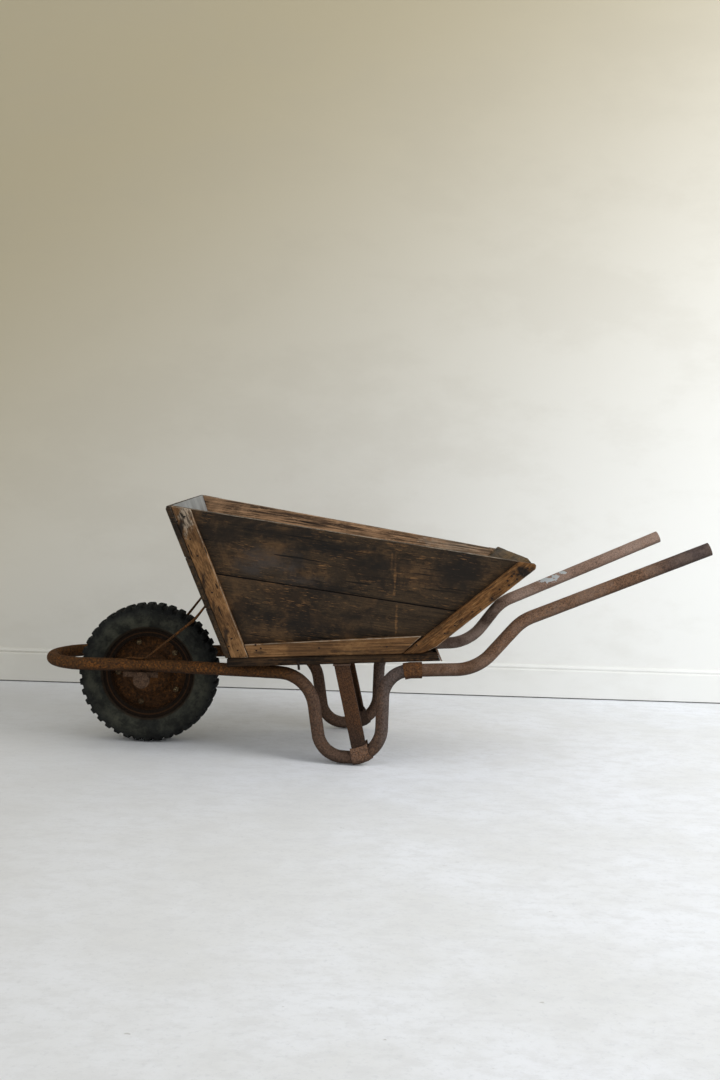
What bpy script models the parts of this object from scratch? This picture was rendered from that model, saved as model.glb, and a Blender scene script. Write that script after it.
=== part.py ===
"""Wooden-bodied wheelbarrow on a bent steel tube frame with one pneumatic wheel.

Metres, +Z up, +X toward the handles, +Y to the pusher's right hand.
X is measured from the axle in all the sizes below and shifted to the middle at the end.
"""
import math

import bmesh
import bpy
from mathutils import Vector

# General clearances
GAP = 0.0003
SHUT_GAP = 0.0008

# Frame tube
TUBE_OD = 0.0337
TUBE_WALL = 0.0032
TUBE_SIDES = 12
BEND_STEP = math.radians(18)
NOSE_REACH = 0.2774
NOSE_RISE = 0.03464
RUN_HALF_SPACING = 0.1150
RUN_SPLAY_X = 0.0300
RUN_RISE = 0.03694
SPLAY_BEND_R = 0.4000
LEG_REAR_X = 0.6267
LEG_REAR_Y = 0.2085
LEG_FOOT_SPAN = 0.1530
LEG_FRONT_RUN = 0.0342
LEG_FRONT_Y = 0.1880
LEG_FRONT_RISE = 0.04064
LEG_FRONT_BEND_R = 0.0950
LEG_FOOT_FRONT_BEND_R = 0.0670
LEG_FOOT_REAR_BEND_R = 0.0800
LEG_REAR_BEND_R = 0.0720
HANDLE_LOW_X = 0.8619
HANDLE_LOW_Y = 0.2194
HANDLE_LOW_Z = 0.2598
HANDLE_LOW_BEND_R = 0.1200
HANDLE_RISE_X = 0.9691
HANDLE_RISE_Y = 0.2243
HANDLE_RISE_Z = 0.3873
HANDLE_RISE_BEND_R = 0.1150
RIGHT_LOW_BEND_BEHIND = 0.0237
RIGHT_RISE_BEND_BEHIND = 0.0038
RIGHT_RISE_BEND_DROP = 0.0074
HANDLE_END_X = 1.4270
HANDLE_END_Y = 0.2450
HANDLE_END_Z = 0.5855
COLLAR_BEHIND_LEG = 0.0743
COLLAR_Z = 0.2505
COLLAR_LENGTH = 0.0460
COLLAR_WALL = 0.0045
TUBE_SPLIT_GAP = 0.0006

# Feet and leg braces
CLIP_WALL = 0.0028
CLIP_LENGTH = 0.0420
CLIP_AHEAD_OF_LEG = 0.0512
CLIP_EAR_RISE = 0.0270
CLIP_SETTLE = 0.0010
BRACE_FOOT_AHEAD_OF_CLIP = 0.0020
BRACE_TOP_AHEAD_OF_FOOT = 0.0535
BRACE_FACE_WIDTH = 0.0380
BRACE_LEG_WIDTH = 0.0300
BRACE_WALL = 0.0042
BRACE_COPE = 0.0015

# Cross bars under the floor
BAR_THICKNESS = 0.0040
BAR_WIDTH = 0.0280
FRONT_BAR_X = 0.3200
FRONT_BAR_HALF = 0.1950
BRACE_BAR_HALF = 0.2140
BRACE_BAR_WIDTH = 0.0450

# Wheel
WHEEL_R = 0.1875
TYRE_HALF_WIDTH = 0.0450
TYRE_LUGS = 40
LUG_SHARE = 0.50
NOTCH_SHARE = 0.28
LUG_DEPTH = 0.0060
TREAD_HALF_WIDTH = 0.0330
TYRE_WALL = 0.0065
CROWN_DROP = 0.0022
SHOULDER_DROP = 0.0080
SHOULDER_OUT = 0.0078
SHOULDER_LUG_SHARE = 0.80
BEAD_TOE = 0.0105
BEAD_ROUND = 0.0036
SIDEWALL_LOW_SHARE = 0.21
SIDEWALL_MID_SHARE = 0.44
SIDEWALL_HIGH_SHARE = 0.67
SIDEWALL_CROWN = 0.0030
BEAD_SEAT_R = 0.1016
RIM_FLANGE_R = 0.1210
RIM_HALF_WIDTH = 0.0305
RIM_SHEET = 0.0020
RIM_SEGMENTS = 28
RIM_BEND = 0.0016
RIM_LIP_DEPTH = 0.0045
FLANGE_STEP = 0.0040
SEAT_STEP = 0.0030
DISH_R = 0.0600
DISH_OUT = 0.0180
DISH_SHOULDER = 0.0120
DISH_ROOT = 0.0030
BOLT_CIRCLE_R = 0.0855
BOLT_COUNT = 5
BOLT_ANGLE = math.radians(39.0)
BOLT_R = 0.0045
BOLT_HEX_R = 0.0090
BOLT_HEAD_T = 0.0062
BOLT_CHAMFER = 0.0012
BOLT_FACE_SHARE = 0.86
BOLT_TAIL = 0.0105
NUT_T = 0.0070
BARREL_R = 0.0150
BARREL_WALL = 0.0026
BARREL_HALF = 0.0520
BUSH_LENGTH = 0.0280
AXLE_R = 0.0095
AXLE_CLEARANCE = 0.0004
SPACER_WALL = 0.0030
SPACER_PLAY = 0.0012
DRILL_OVERRUN = 0.0100

# Axle brackets under the tube
BRACKET_FRONT = 0.0510
BRACKET_REAR = 0.0400
BRACKET_PLATE_T = 0.0090
BRACKET_DROP = 0.0150
BOSS_R = 0.0178
BOSS_INNER_Y = 0.1010
BOSS_OUTER_Y = 0.1325
CAP_R = 0.0216
CAP_T = 0.0085
CAP_EDGE_DROP = 0.0025
CAP_EDGE_IN = 0.0030
AXLE_IN_CAP_SHARE = 0.45
WEB_SHARE = 0.93
WEB_TAPER = 0.90

# Wooden body
FLOOR_THICKNESS = 0.0225
FLOOR_FRONT_X = 0.2290
FLOOR_HALF_WIDTH = 0.2160
FLOOR_BOARDS = 3
FLOOR_BOARD_GAP = 0.0016
SIDE_FOOT_Y = 0.1990
SIDE_FOOT_Z = 0.2620
SIDE_FLARE = 0.2820
SIDE_THICKNESS = 0.0190
SIDE_JOINT_X = 0.2090
SIDE_JOINT_Z = 0.4836
SIDE_JOINT_SLOPE = -0.1269
TOP_FRONT_X = 0.1000
TOP_REAR_X = 0.9700
TOP_FRONT_LEFT_Z = 0.6510
TOP_FRONT_RIGHT_Z = 0.6592
TOP_REAR_LEFT_Z = 0.5390
TOP_REAR_RIGHT_Z = 0.5314
FRONT_FOOT_X = 0.2290
FRONT_FOOT_Z = 0.2561
FRONT_LEAN = 0.3790
FRONT_THICKNESS = 0.0150
FRONT_BOARDS = 3
FRONT_ARRIS = 0.0090
LINING_T = 0.0012
REAR_EDGE_X = 0.8517
REAR_EDGE_Z = 0.4000
REAR_LEAN = 1.1050
REAR_CLIP_X = 0.9900
REAR_INSET = 0.0180
REAR_THICKNESS = 0.0268
REAR_PROUD = 0.0130
REAR_JOINT_SHARE = 0.5000
BATTEN_THICKNESS = 0.0165
FRONT_BATTEN_WIDTH = 0.0452
REAR_BATTEN_WIDTH = 0.0610
BOTTOM_BATTEN_FRONT = 0.0355
BOTTOM_BATTEN_REAR = 0.0490
BATTEN_SHUT = 0.0012
BATTEN_REAR_CUT = 0.0085
REAR_BATTEN_HEEL_SHARE = 0.82
REAR_BATTEN_TOE_RISE = 0.0180
LIP_HEIGHT = 0.0315
LIP_THICKNESS = 0.0045
LIP_LEAN = 0.4470
LIP_FOOT_X = 0.7700

# Stay rods from the frame to the front board
STAY_R = 0.0043
STAY_Y = 0.1200
STAY_TAIL_X = -0.0480
STAY_BEND_X = 0.0080
STAY_KNEE_LEFT_X = 0.1330
STAY_KNEE_LEFT_Z = 0.3490
STAY_TOP_LEFT_Z = 0.4010
STAY_KNEE_RIGHT_X = 0.0600
STAY_KNEE_RIGHT_Z = 0.3000
STAY_TOP_RIGHT_Z = 0.4328
STAY_TAB = 0.0280
STAY_FLAT_W = 0.0075
STAY_FLAT_T = 0.0022
STAY_BEND_R = 0.0120
STAY_KNEE_R = 0.0600
STAY_TOP_BEND_R = 0.0100
STAY_FADE = 0.0200

TUBE_R = TUBE_OD / 2
COLLAR_R = TUBE_R + GAP + COLLAR_WALL
CLIP_R = TUBE_R + GAP + CLIP_WALL
FOOT_Z = CLIP_R - CLIP_SETTLE
LUG_HALF_ANGLE = 2 * math.pi / TYRE_LUGS * LUG_SHARE / 2
AXLE_Z = WHEEL_R * math.cos(LUG_HALF_ANGLE)
NOSE_Z = AXLE_Z + NOSE_RISE
RUN_Z = AXLE_Z + RUN_RISE
LEG_FRONT_Z = AXLE_Z + LEG_FRONT_RISE
LEG_FOOT_FRONT_X = LEG_REAR_X - LEG_FOOT_SPAN
LEG_FRONT_X = LEG_FOOT_FRONT_X - LEG_FRONT_RUN
COLLAR_X = LEG_REAR_X + COLLAR_BEHIND_LEG
CLIP_X = LEG_REAR_X - CLIP_AHEAD_OF_LEG
BRACE_FOOT_X = CLIP_X - BRACE_FOOT_AHEAD_OF_CLIP
BRACE_TOP_X = BRACE_FOOT_X - BRACE_TOP_AHEAD_OF_FOOT
TOP_FRONT_Z = {-1: TOP_FRONT_LEFT_Z, 1: TOP_FRONT_RIGHT_Z}
TOP_REAR_Z = {-1: TOP_REAR_LEFT_Z, 1: TOP_REAR_RIGHT_Z}
STAY_KNEE_X = {-1: STAY_KNEE_LEFT_X, 1: STAY_KNEE_RIGHT_X}
STAY_KNEE_Z = {-1: STAY_KNEE_LEFT_Z, 1: STAY_KNEE_RIGHT_Z}
STAY_TOP_Z = {-1: STAY_TOP_LEFT_Z, 1: STAY_TOP_RIGHT_Z}


def clear_scene():
    for obj in list(bpy.data.objects):
        bpy.data.objects.remove(obj, do_unlink=True)


def material(name, colour, roughness, metallic):
    mat = bpy.data.materials.new(name)
    mat.use_nodes = True
    shader = mat.node_tree.nodes["Principled BSDF"]
    shader.inputs["Base Color"].default_value = (*colour, 1.0)
    shader.inputs["Roughness"].default_value = roughness
    shader.inputs["Metallic"].default_value = metallic
    return mat


def finish(name, bm, mat, parent, smooth_angle=None):
    """Turn a bmesh into a named object under its parent."""
    bmesh.ops.recalc_face_normals(bm, faces=bm.faces)
    mesh = bpy.data.meshes.new(name)
    bm.to_mesh(mesh)
    bm.free()
    mesh.materials.append(mat)
    if smooth_angle is not None:
        mesh.shade_smooth()
        mesh.set_sharp_from_angle(angle=math.radians(smooth_angle))
    obj = bpy.data.objects.new(name, mesh)
    bpy.context.collection.objects.link(obj)
    obj.parent = parent
    return obj


def lofted(bm, sections, closed_ring=False):
    """Skin matching closed sections, with end faces unless the sections form a ring."""
    rings = [[bm.verts.new(p) for p in section] for section in sections]
    count = len(rings[0])
    pairs = list(zip(rings, rings[1:]))
    if closed_ring:
        pairs.append((rings[-1], rings[0]))
    for first, second in pairs:
        for i in range(count):
            j = (i + 1) % count
            bm.faces.new((first[i], first[j], second[j], second[i]))
    if not closed_ring:
        bm.faces.new(list(reversed(rings[0])))
        bm.faces.new(rings[-1])
    return rings


def board(name, outline_a, outline_b, mat, parent):
    """A board between two matching outlines."""
    bm = bmesh.new()
    lofted(bm, [outline_a, outline_b])
    return finish(name, bm, mat, parent)


def rounded_path(corners, radii, step):
    """Straight runs joined by arcs of the given radius, one point per step of angle."""
    points = [corners[0].copy()]
    for before, corner, after, radius in zip(corners, corners[1:], corners[2:], radii):
        into = (corner - before).normalized()
        out = (after - corner).normalized()
        turn = into.angle(out)
        tangent = radius * math.tan(turn / 2)
        inward = (out - into).normalized()
        centre = corner + inward * (radius / math.cos(turn / 2))
        first = corner - into * tangent
        count = max(2, math.ceil(turn / step))
        radial = first - centre
        for k in range(count + 1):
            angle = turn * k / count
            points.append(centre + radial * math.cos(angle) + into * radius * math.sin(angle))
    points.append(corners[-1].copy())
    return points


def path_tangents(points):
    tangents = []
    for i in range(len(points)):
        before = points[max(i - 1, 0)]
        after = points[min(i + 1, len(points) - 1)]
        tangents.append((after - before).normalized())
    return tangents


def frames(points, side_hint):
    """Side and upward axes square to the path at each point, without twist."""
    result = []
    side = side_hint
    for tangent in path_tangents(points):
        side = (side - tangent * side.dot(tangent)).normalized()
        result.append((side.copy(), tangent.cross(side)))
    return result


def cut_path(points, x_from, x_to):
    """The stretch of a path between two stations along X, on points that run with X."""
    def at(x):
        for a, b in zip(points, points[1:]):
            if a.x <= x <= b.x:
                return a.lerp(b, (x - a.x) / (b.x - a.x))
        return points[-1].copy()
    inner = [p.copy() for p in points if x_from + 1e-4 < p.x < x_to - 1e-4]
    return [at(x_from), *inner, at(x_to)]


def circle(centre, side, up, radius, sides):
    ring = []
    for i in range(sides):
        angle = math.pi / 2 + 2 * math.pi * i / sides
        ring.append(centre + side * (radius * math.cos(angle)) + up * (radius * math.sin(angle)))
    return ring


def pipe(name, points, r_out, r_in, mat, parent, sides=TUBE_SIDES):
    """A hollow tube open at both ends, swept along a path."""
    bm = bmesh.new()
    axes = frames(points, Vector((0, 1, 0)))
    outer = [circle(p, s, u, r_out, sides) for p, (s, u) in zip(points, axes)]
    inner = [circle(p, s, u, r_in, sides) for p, (s, u) in zip(points, axes)]
    lofted(bm, outer + inner[::-1], closed_ring=True)
    return finish(name, bm, mat, parent, 50)


def turned(bm, profile, segments, start=0.0):
    """Turn a closed profile of (radius, y) about the Y axis; radius 0 closes on the axis."""
    rings = []
    for radius, y in profile:
        if radius == 0:
            rings.append([bm.verts.new((0, y, 0))])
            continue
        ring = []
        for i in range(segments):
            angle = start + 2 * math.pi * i / segments
            ring.append(bm.verts.new((radius * math.cos(angle), y, radius * math.sin(angle))))
        rings.append(ring)
    for first, second in zip(rings, rings[1:] + rings[:1]):
        if len(first) == 1 and len(second) == 1:
            continue
        for i in range(segments):
            j = (i + 1) % segments
            if len(first) == 1:
                bm.faces.new((first[0], second[j], second[i]))
            elif len(second) == 1:
                bm.faces.new((first[i], first[j], second[0]))
            else:
                bm.faces.new((first[i], first[j], second[j], second[i]))


def shift(bm, x, y, z):
    bmesh.ops.translate(bm, verts=bm.verts, vec=(x, y, z))


def side_name(side):
    return "left" if side < 0 else "right"


# Geometry of the tub's planes, all in X and Z; the fourth wall follows from the flare

def floor_under(x):
    return FLOOR_SEAT_Z + FLOOR_SLOPE * (x - FLOOR_SEAT_X)


def floor_top(x):
    return floor_under(x) + FLOOR_THICKNESS


def side_y(z, inward=0.0):
    return SIDE_FOOT_Y + SIDE_FLARE * (z - SIDE_FOOT_Z) - inward


def front_x(z, inward=0.0):
    return FRONT_FOOT_X - FRONT_LEAN * (z - FRONT_FOOT_Z) + inward


def rear_x(z, inward=0.0):
    return REAR_EDGE_X + REAR_LEAN * (z - REAR_EDGE_Z) - inward


def rear_z(x):
    return REAR_EDGE_Z + (x - REAR_EDGE_X) / REAR_LEAN


def side_top(x, side):
    slope = (TOP_REAR_Z[side] - TOP_FRONT_Z[side]) / (TOP_REAR_X - TOP_FRONT_X)
    return TOP_FRONT_Z[side] + slope * (x - TOP_FRONT_X)


def side_joint(x):
    return SIDE_JOINT_Z + SIDE_JOINT_SLOPE * (x - SIDE_JOINT_X)


def meet(x_of_z, z_of_x):
    """The point where a leaning line and a sloping line cross."""
    z = SIDE_JOINT_Z
    for _ in range(40):
        z = z_of_x(x_of_z(z))
    return (x_of_z(z), z)


def on_side(outline, side, offset):
    """Points of an (x, z) outline on the flared wall, moved outward by an offset."""
    return [Vector((x, side * side_y(z, -offset), z)) for x, z in outline]


def side_piece(name, outline, side, inner, outer, mat, parent):
    return board(name, on_side(outline, side, inner), on_side(outline, side, outer), mat, parent)


# Frame tube centreline
def frame_corners(side):
    """Corners and bends of one half; the right handle was bent a little farther back."""
    low_x = HANDLE_LOW_X
    rise_x = HANDLE_RISE_X
    rise_z = HANDLE_RISE_Z
    if side > 0:
        low_x += RIGHT_LOW_BEND_BEHIND
        rise_x += RIGHT_RISE_BEND_BEHIND
        rise_z -= RIGHT_RISE_BEND_DROP
    leg_y = LEG_FRONT_Y + (LEG_REAR_Y - LEG_FRONT_Y) * (
        (LEG_FOOT_FRONT_X - LEG_FRONT_X) / (LEG_REAR_X - LEG_FRONT_X))
    collar_slope = (HANDLE_LOW_Z - COLLAR_Z) / (HANDLE_LOW_X - COLLAR_X)
    low_y = LEG_REAR_Y + (HANDLE_LOW_Y - LEG_REAR_Y) * (low_x - LEG_REAR_X) / (HANDLE_LOW_X - LEG_REAR_X)
    rear_top_z = COLLAR_Z + collar_slope * (LEG_REAR_X - COLLAR_X)
    corners = [
        Vector((-NOSE_REACH + TUBE_R, 0, NOSE_Z)),
        Vector((-NOSE_REACH + TUBE_R, RUN_HALF_SPACING, NOSE_Z)),
        Vector((RUN_SPLAY_X, RUN_HALF_SPACING, RUN_Z)),
        Vector((LEG_FRONT_X, LEG_FRONT_Y, LEG_FRONT_Z)),
        Vector((LEG_FOOT_FRONT_X, leg_y, FOOT_Z)),
        Vector((LEG_REAR_X, LEG_REAR_Y, FOOT_Z)),
        Vector((LEG_REAR_X, LEG_REAR_Y, rear_top_z)),
        Vector((low_x, low_y, COLLAR_Z + collar_slope * (low_x - COLLAR_X))),
        Vector((rise_x, HANDLE_RISE_Y, rise_z)),
        Vector((HANDLE_END_X, HANDLE_END_Y, HANDLE_END_Z)),
    ]
    radii = [RUN_HALF_SPACING, SPLAY_BEND_R, LEG_FRONT_BEND_R, LEG_FOOT_FRONT_BEND_R,
             LEG_FOOT_REAR_BEND_R,
             LEG_REAR_BEND_R, HANDLE_LOW_BEND_R, HANDLE_RISE_BEND_R]
    return corners, radii


HALF_PATH = rounded_path(*frame_corners(-1), BEND_STEP)


def path_point(x_near, start):
    """The path's point at a station along X, searched from a part of the path onward."""
    best = None
    for a, b in zip(HALF_PATH[start:], HALF_PATH[start + 1:]):
        if min(a.x, b.x) <= x_near <= max(a.x, b.x) and abs(b.x - a.x) > 1e-9:
            best = a.lerp(b, (x_near - a.x) / (b.x - a.x))
            break
    return best


def path_slope_x(x):
    a = path_point(x - 0.002, FOOT_INDEX - 2)
    b = path_point(x + 0.002, FOOT_INDEX - 2)
    return (b - a).normalized().x


FOOT_INDEX = min(range(len(HALF_PATH)), key=lambda i: HALF_PATH[i].z)
LEG_TOP_INDEX = max(i for i in range(len(HALF_PATH)) if HALF_PATH[i].x < LEG_REAR_X + 1e-4)
TAIL_PATH = [p for p in HALF_PATH[LEG_TOP_INDEX:]]
RIGHT_TAIL_PATH = rounded_path(*frame_corners(1), BEND_STEP)[LEG_TOP_INDEX:]


def tail_point(x):
    for a, b in zip(TAIL_PATH, TAIL_PATH[1:]):
        if a.x <= x <= b.x:
            return a.lerp(b, (x - a.x) / (b.x - a.x))
    return TAIL_PATH[-1]


# The floor rests on the front bar over the tubes and on the collars
FLOOR_SEAT_X = FRONT_BAR_X - BAR_WIDTH / 2
FLOOR_SEAT_Z = path_point(FLOOR_SEAT_X, 0).z + TUBE_R + GAP + BAR_THICKNESS + GAP


def collar_slope_from_seat():
    best = 0.0
    for share in (-0.5, -0.25, 0.0, 0.25, 0.5):
        p = tail_point(COLLAR_X + share * COLLAR_LENGTH)
        rise = p.z + COLLAR_R + GAP - FLOOR_SEAT_Z
        best = max(best, rise / (p.x - FLOOR_SEAT_X))
    return best


FLOOR_SLOPE = collar_slope_from_seat()


def build_frame(parent, rust, rust_smooth):
    split = COLLAR_X
    front_half = [p for p in HALF_PATH if p not in TAIL_PATH]
    front_half += cut_path(TAIL_PATH, TAIL_PATH[0].x, split - TUBE_SPLIT_GAP / 2)
    right = front_half[1:]
    left = [Vector((p.x, -p.y, p.z)) for p in reversed(front_half[2:])]
    pipe("front_loop_tube", left + right, TUBE_R, TUBE_R - TUBE_WALL, rust, parent)
    collar = cut_path(TAIL_PATH, COLLAR_X - COLLAR_LENGTH / 2, COLLAR_X + COLLAR_LENGTH / 2)
    for side in (-1, 1):
        tail = RIGHT_TAIL_PATH if side > 0 else TAIL_PATH
        handle = cut_path(tail, split + TUBE_SPLIT_GAP / 2, HANDLE_END_X)
        path = [Vector((p.x, side * p.y, p.z)) for p in handle]
        pipe("handle_tube_" + side_name(side), path, TUBE_R, TUBE_R - TUBE_WALL,
             rust_smooth, parent)
        path = [Vector((p.x, side * p.y, p.z)) for p in collar]
        pipe("collar_" + side_name(side), path, COLLAR_R, TUBE_R + GAP, rust, parent)


def clip_stretch():
    """The foot bend's points under the clip, with tangents and the axes square to them."""
    half = CLIP_LENGTH / 2
    stretch = HALF_PATH[FOOT_INDEX - 1:LEG_TOP_INDEX]
    return cut_path([p for p in stretch if p.x < LEG_REAR_X - 1e-3], CLIP_X - half, CLIP_X + half)


def build_feet(parent, rust):
    for side in (-1, 1):
        points = [Vector((p.x, side * p.y, p.z)) for p in clip_stretch()]
        lean = Vector((BRACE_TOP_X - BRACE_FOOT_X, 0, brace_top_z(BRACE_TOP_X) - FOOT_Z)).normalized()
        sections = []
        for p, tangent in zip(points, path_tangents(points)):
            out = Vector((0, 1, 0)) - tangent * tangent.y
            out.normalize()
            up = tangent.cross(out)
            if up.z < 0:
                up = -up
            arc_out = []
            arc_in = []
            steps = 10
            for k in range(steps + 1):
                a = math.pi * k / steps
                direction = -out * math.cos(a) - up * math.sin(a)
                arc_out.append(p + direction * CLIP_R)
                arc_in.append(p + direction * (TUBE_R + GAP))
            ear = lean * CLIP_EAR_RISE
            section = [arc_out[0] + ear, *arc_out, arc_out[-1] + ear,
                       arc_in[-1] + ear, *reversed(arc_in), arc_in[0] + ear]
            sections.append(section)
        bm = bmesh.new()
        lofted(bm, sections)
        finish("foot_clip_" + side_name(side), bm, rust, parent)


def brace_top_z(x):
    return floor_under(x) - GAP - BAR_THICKNESS - GAP


def build_braces(parent, rust):
    axis_x = BRACE_TOP_X - BRACE_FOOT_X
    foot_z = FOOT_Z + TUBE_R
    rise = brace_top_z(BRACE_TOP_X) - foot_z
    along = Vector((axis_x, 0, rise)).normalized()
    across = Vector((along.z, 0, -along.x))
    foot = Vector((BRACE_FOOT_X, 0, foot_z))
    half = BRACE_FACE_WIDTH / 2

    def top_at(offset):
        """Where an edge of the brace meets the underside of its bar."""
        start = foot + across * offset
        t = 0.0
        for _ in range(30):
            t = (brace_top_z(start.x + along.x * t) - start.z) / along.z
        return start + along * t

    def foot_at(offset, inward):
        """Where an edge of the brace ends, coped clear of the foot bend."""
        start = foot + across * offset
        near = TUBE_R - BRACE_WALL
        height = BRACE_COPE + math.sqrt((TUBE_R + 2 * GAP) ** 2 - near ** 2) + max(0.0, inward - BRACE_WALL)
        t = 0.0
        for _ in range(30):
            x = start.x + along.x * t
            level = path_point(x, FOOT_INDEX - 2).z + height / path_slope_x(x)
            t = (level - start.z) / along.z
        return start + along * t

    profile = [(-half, 0.0), (half, 0.0), (half, BRACE_LEG_WIDTH),
               (half - BRACE_WALL, BRACE_LEG_WIDTH), (half - BRACE_WALL, BRACE_WALL),
               (-half, BRACE_WALL)]
    for side in (-1, 1):
        low = []
        top = []
        for offset, inward in profile:
            base = foot_at(offset, 0.0)
            y = path_point(base.x, FOOT_INDEX - 2).y + TUBE_R - inward
            low.append(foot_at(offset, inward) + Vector((0, side * y, 0)))
            top.append(top_at(offset) + Vector((0, side * y, 0)))
        bm = bmesh.new()
        lofted(bm, [low, top])
        finish("leg_brace_" + side_name(side), bm, rust, parent)


def cross_bar(name, x_centre, width, half_length, mat, parent):
    outline = []
    for x in (x_centre - width / 2, x_centre + width / 2):
        outline.append((x, floor_under(x) - GAP))
    section = [outline[0], outline[1], (outline[1][0], outline[1][1] - BAR_THICKNESS),
               (outline[0][0], outline[0][1] - BAR_THICKNESS)]
    ends = [[Vector((x, y, z)) for x, z in section] for y in (-half_length, half_length)]
    board(name, *ends, mat, parent)


def build_floor(parent, wood, rust):
    cross_bar("cross_bar_front", FRONT_BAR_X, BAR_WIDTH, FRONT_BAR_HALF, rust, parent)
    cross_bar("cross_bar_brace", BRACE_TOP_X, BRACE_BAR_WIDTH, BRACE_BAR_HALF, rust, parent)

    def lip_x(z, back=0.0):
        return LIP_FOOT_X - LIP_LEAN * (z - floor_under(LIP_FOOT_X)) + back

    under = meet(lambda z: lip_x(z, -GAP), floor_under)
    over = meet(lambda z: lip_x(z, -GAP), floor_top)
    width = 2 * FLOOR_HALF_WIDTH / FLOOR_BOARDS
    for k in range(FLOOR_BOARDS):
        y0 = -FLOOR_HALF_WIDTH + k * width + (FLOOR_BOARD_GAP / 2 if k else 0)
        y1 = -FLOOR_HALF_WIDTH + (k + 1) * width - (FLOOR_BOARD_GAP / 2 if k < FLOOR_BOARDS - 1 else 0)
        section = [(FLOOR_FRONT_X, floor_under(FLOOR_FRONT_X)), under, over,
                   (FLOOR_FRONT_X, floor_top(FLOOR_FRONT_X))]
        ends = [[Vector((x, y, z)) for x, z in section] for y in (y0, y1)]
        board("floor_board_%d" % (k + 1), *ends, wood, parent)
    foot_z = floor_under(LIP_FOOT_X)
    section = [(lip_x(foot_z), foot_z), (lip_x(foot_z, LIP_THICKNESS), foot_z),
               (lip_x(foot_z + LIP_HEIGHT, LIP_THICKNESS), foot_z + LIP_HEIGHT),
               (lip_x(foot_z + LIP_HEIGHT), foot_z + LIP_HEIGHT)]
    ends = [[Vector((x, y, z)) for x, z in section] for y in (-FLOOR_HALF_WIDTH, FLOOR_HALF_WIDTH)]
    board("rear_lip", *ends, rust, parent)


def floor_seat(x):
    return floor_top(x) + GAP


def build_sides(parent, wood, batten_wood):
    wall_front = FRONT_THICKNESS + GAP
    for side in (-1, 1):
        tag = side_name(side)

        def top(x, s=side):
            return side_top(x, s)

        def front(z):
            return front_x(z, wall_front)

        bottom_front = meet(front, floor_seat)
        bottom_rear = meet(rear_x, floor_seat)
        joint_front = meet(front, side_joint)
        joint_rear = meet(rear_x, side_joint)
        top_front = meet(front, top)
        clip_top = (REAR_CLIP_X, top(REAR_CLIP_X))
        clip_low = (REAR_CLIP_X, rear_z(REAR_CLIP_X))
        gap = SHUT_GAP / 2
        lower = [bottom_front, bottom_rear, (joint_rear[0], joint_rear[1] - gap),
                 (joint_front[0], joint_front[1] - gap)]
        upper = [(joint_front[0], joint_front[1] + gap), (joint_rear[0], joint_rear[1] + gap),
                 clip_low, clip_top, top_front]
        side_piece("side_board_lower_" + tag, lower, side, -SIDE_THICKNESS, 0, wood, parent)
        side_piece("side_board_upper_" + tag, upper, side, -SIDE_THICKNESS, 0, wood, parent)

        def batten_edge(z):
            return front_x(z, wall_front + FRONT_BATTEN_WIDTH)

        inner = GAP
        outer = GAP + BATTEN_THICKNESS
        outline = [bottom_front, meet(batten_edge, floor_seat),
                   meet(batten_edge, top), top_front]
        side_piece("front_batten_" + tag, outline, side, inner, outer, batten_wood, parent)

        def rear_batten_edge(z):
            return rear_x(z, REAR_BATTEN_WIDTH)

        heel = meet(rear_batten_edge, floor_seat)
        toe_x = heel[0] + REAR_BATTEN_HEEL_SHARE * REAR_BATTEN_WIDTH
        cut_z = floor_seat(toe_x) + REAR_BATTEN_TOE_RISE
        outline = [heel, (toe_x, floor_seat(toe_x)), (rear_x(cut_z), cut_z),
                   clip_low, clip_top, meet(rear_batten_edge, top)]
        side_piece("rear_batten_" + tag, outline, side, inner, outer, batten_wood, parent)

        def start_edge(z):
            return front_x(z, wall_front + FRONT_BATTEN_WIDTH + SHUT_GAP)

        start_low = meet(start_edge, floor_seat)
        start_high = meet(start_edge, lambda x: floor_seat(x) + BOTTOM_BATTEN_FRONT)
        end_low_x = heel[0] - BATTEN_SHUT
        end_low = (end_low_x, floor_seat(end_low_x))
        end_z = floor_seat(heel[0]) + BOTTOM_BATTEN_REAR
        end_high = (rear_batten_edge(end_z) - BATTEN_REAR_CUT, end_z)
        outline = [start_low, end_low, end_high, start_high]
        side_piece("bottom_batten_" + tag, outline, side, inner, outer, batten_wood, parent)


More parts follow.
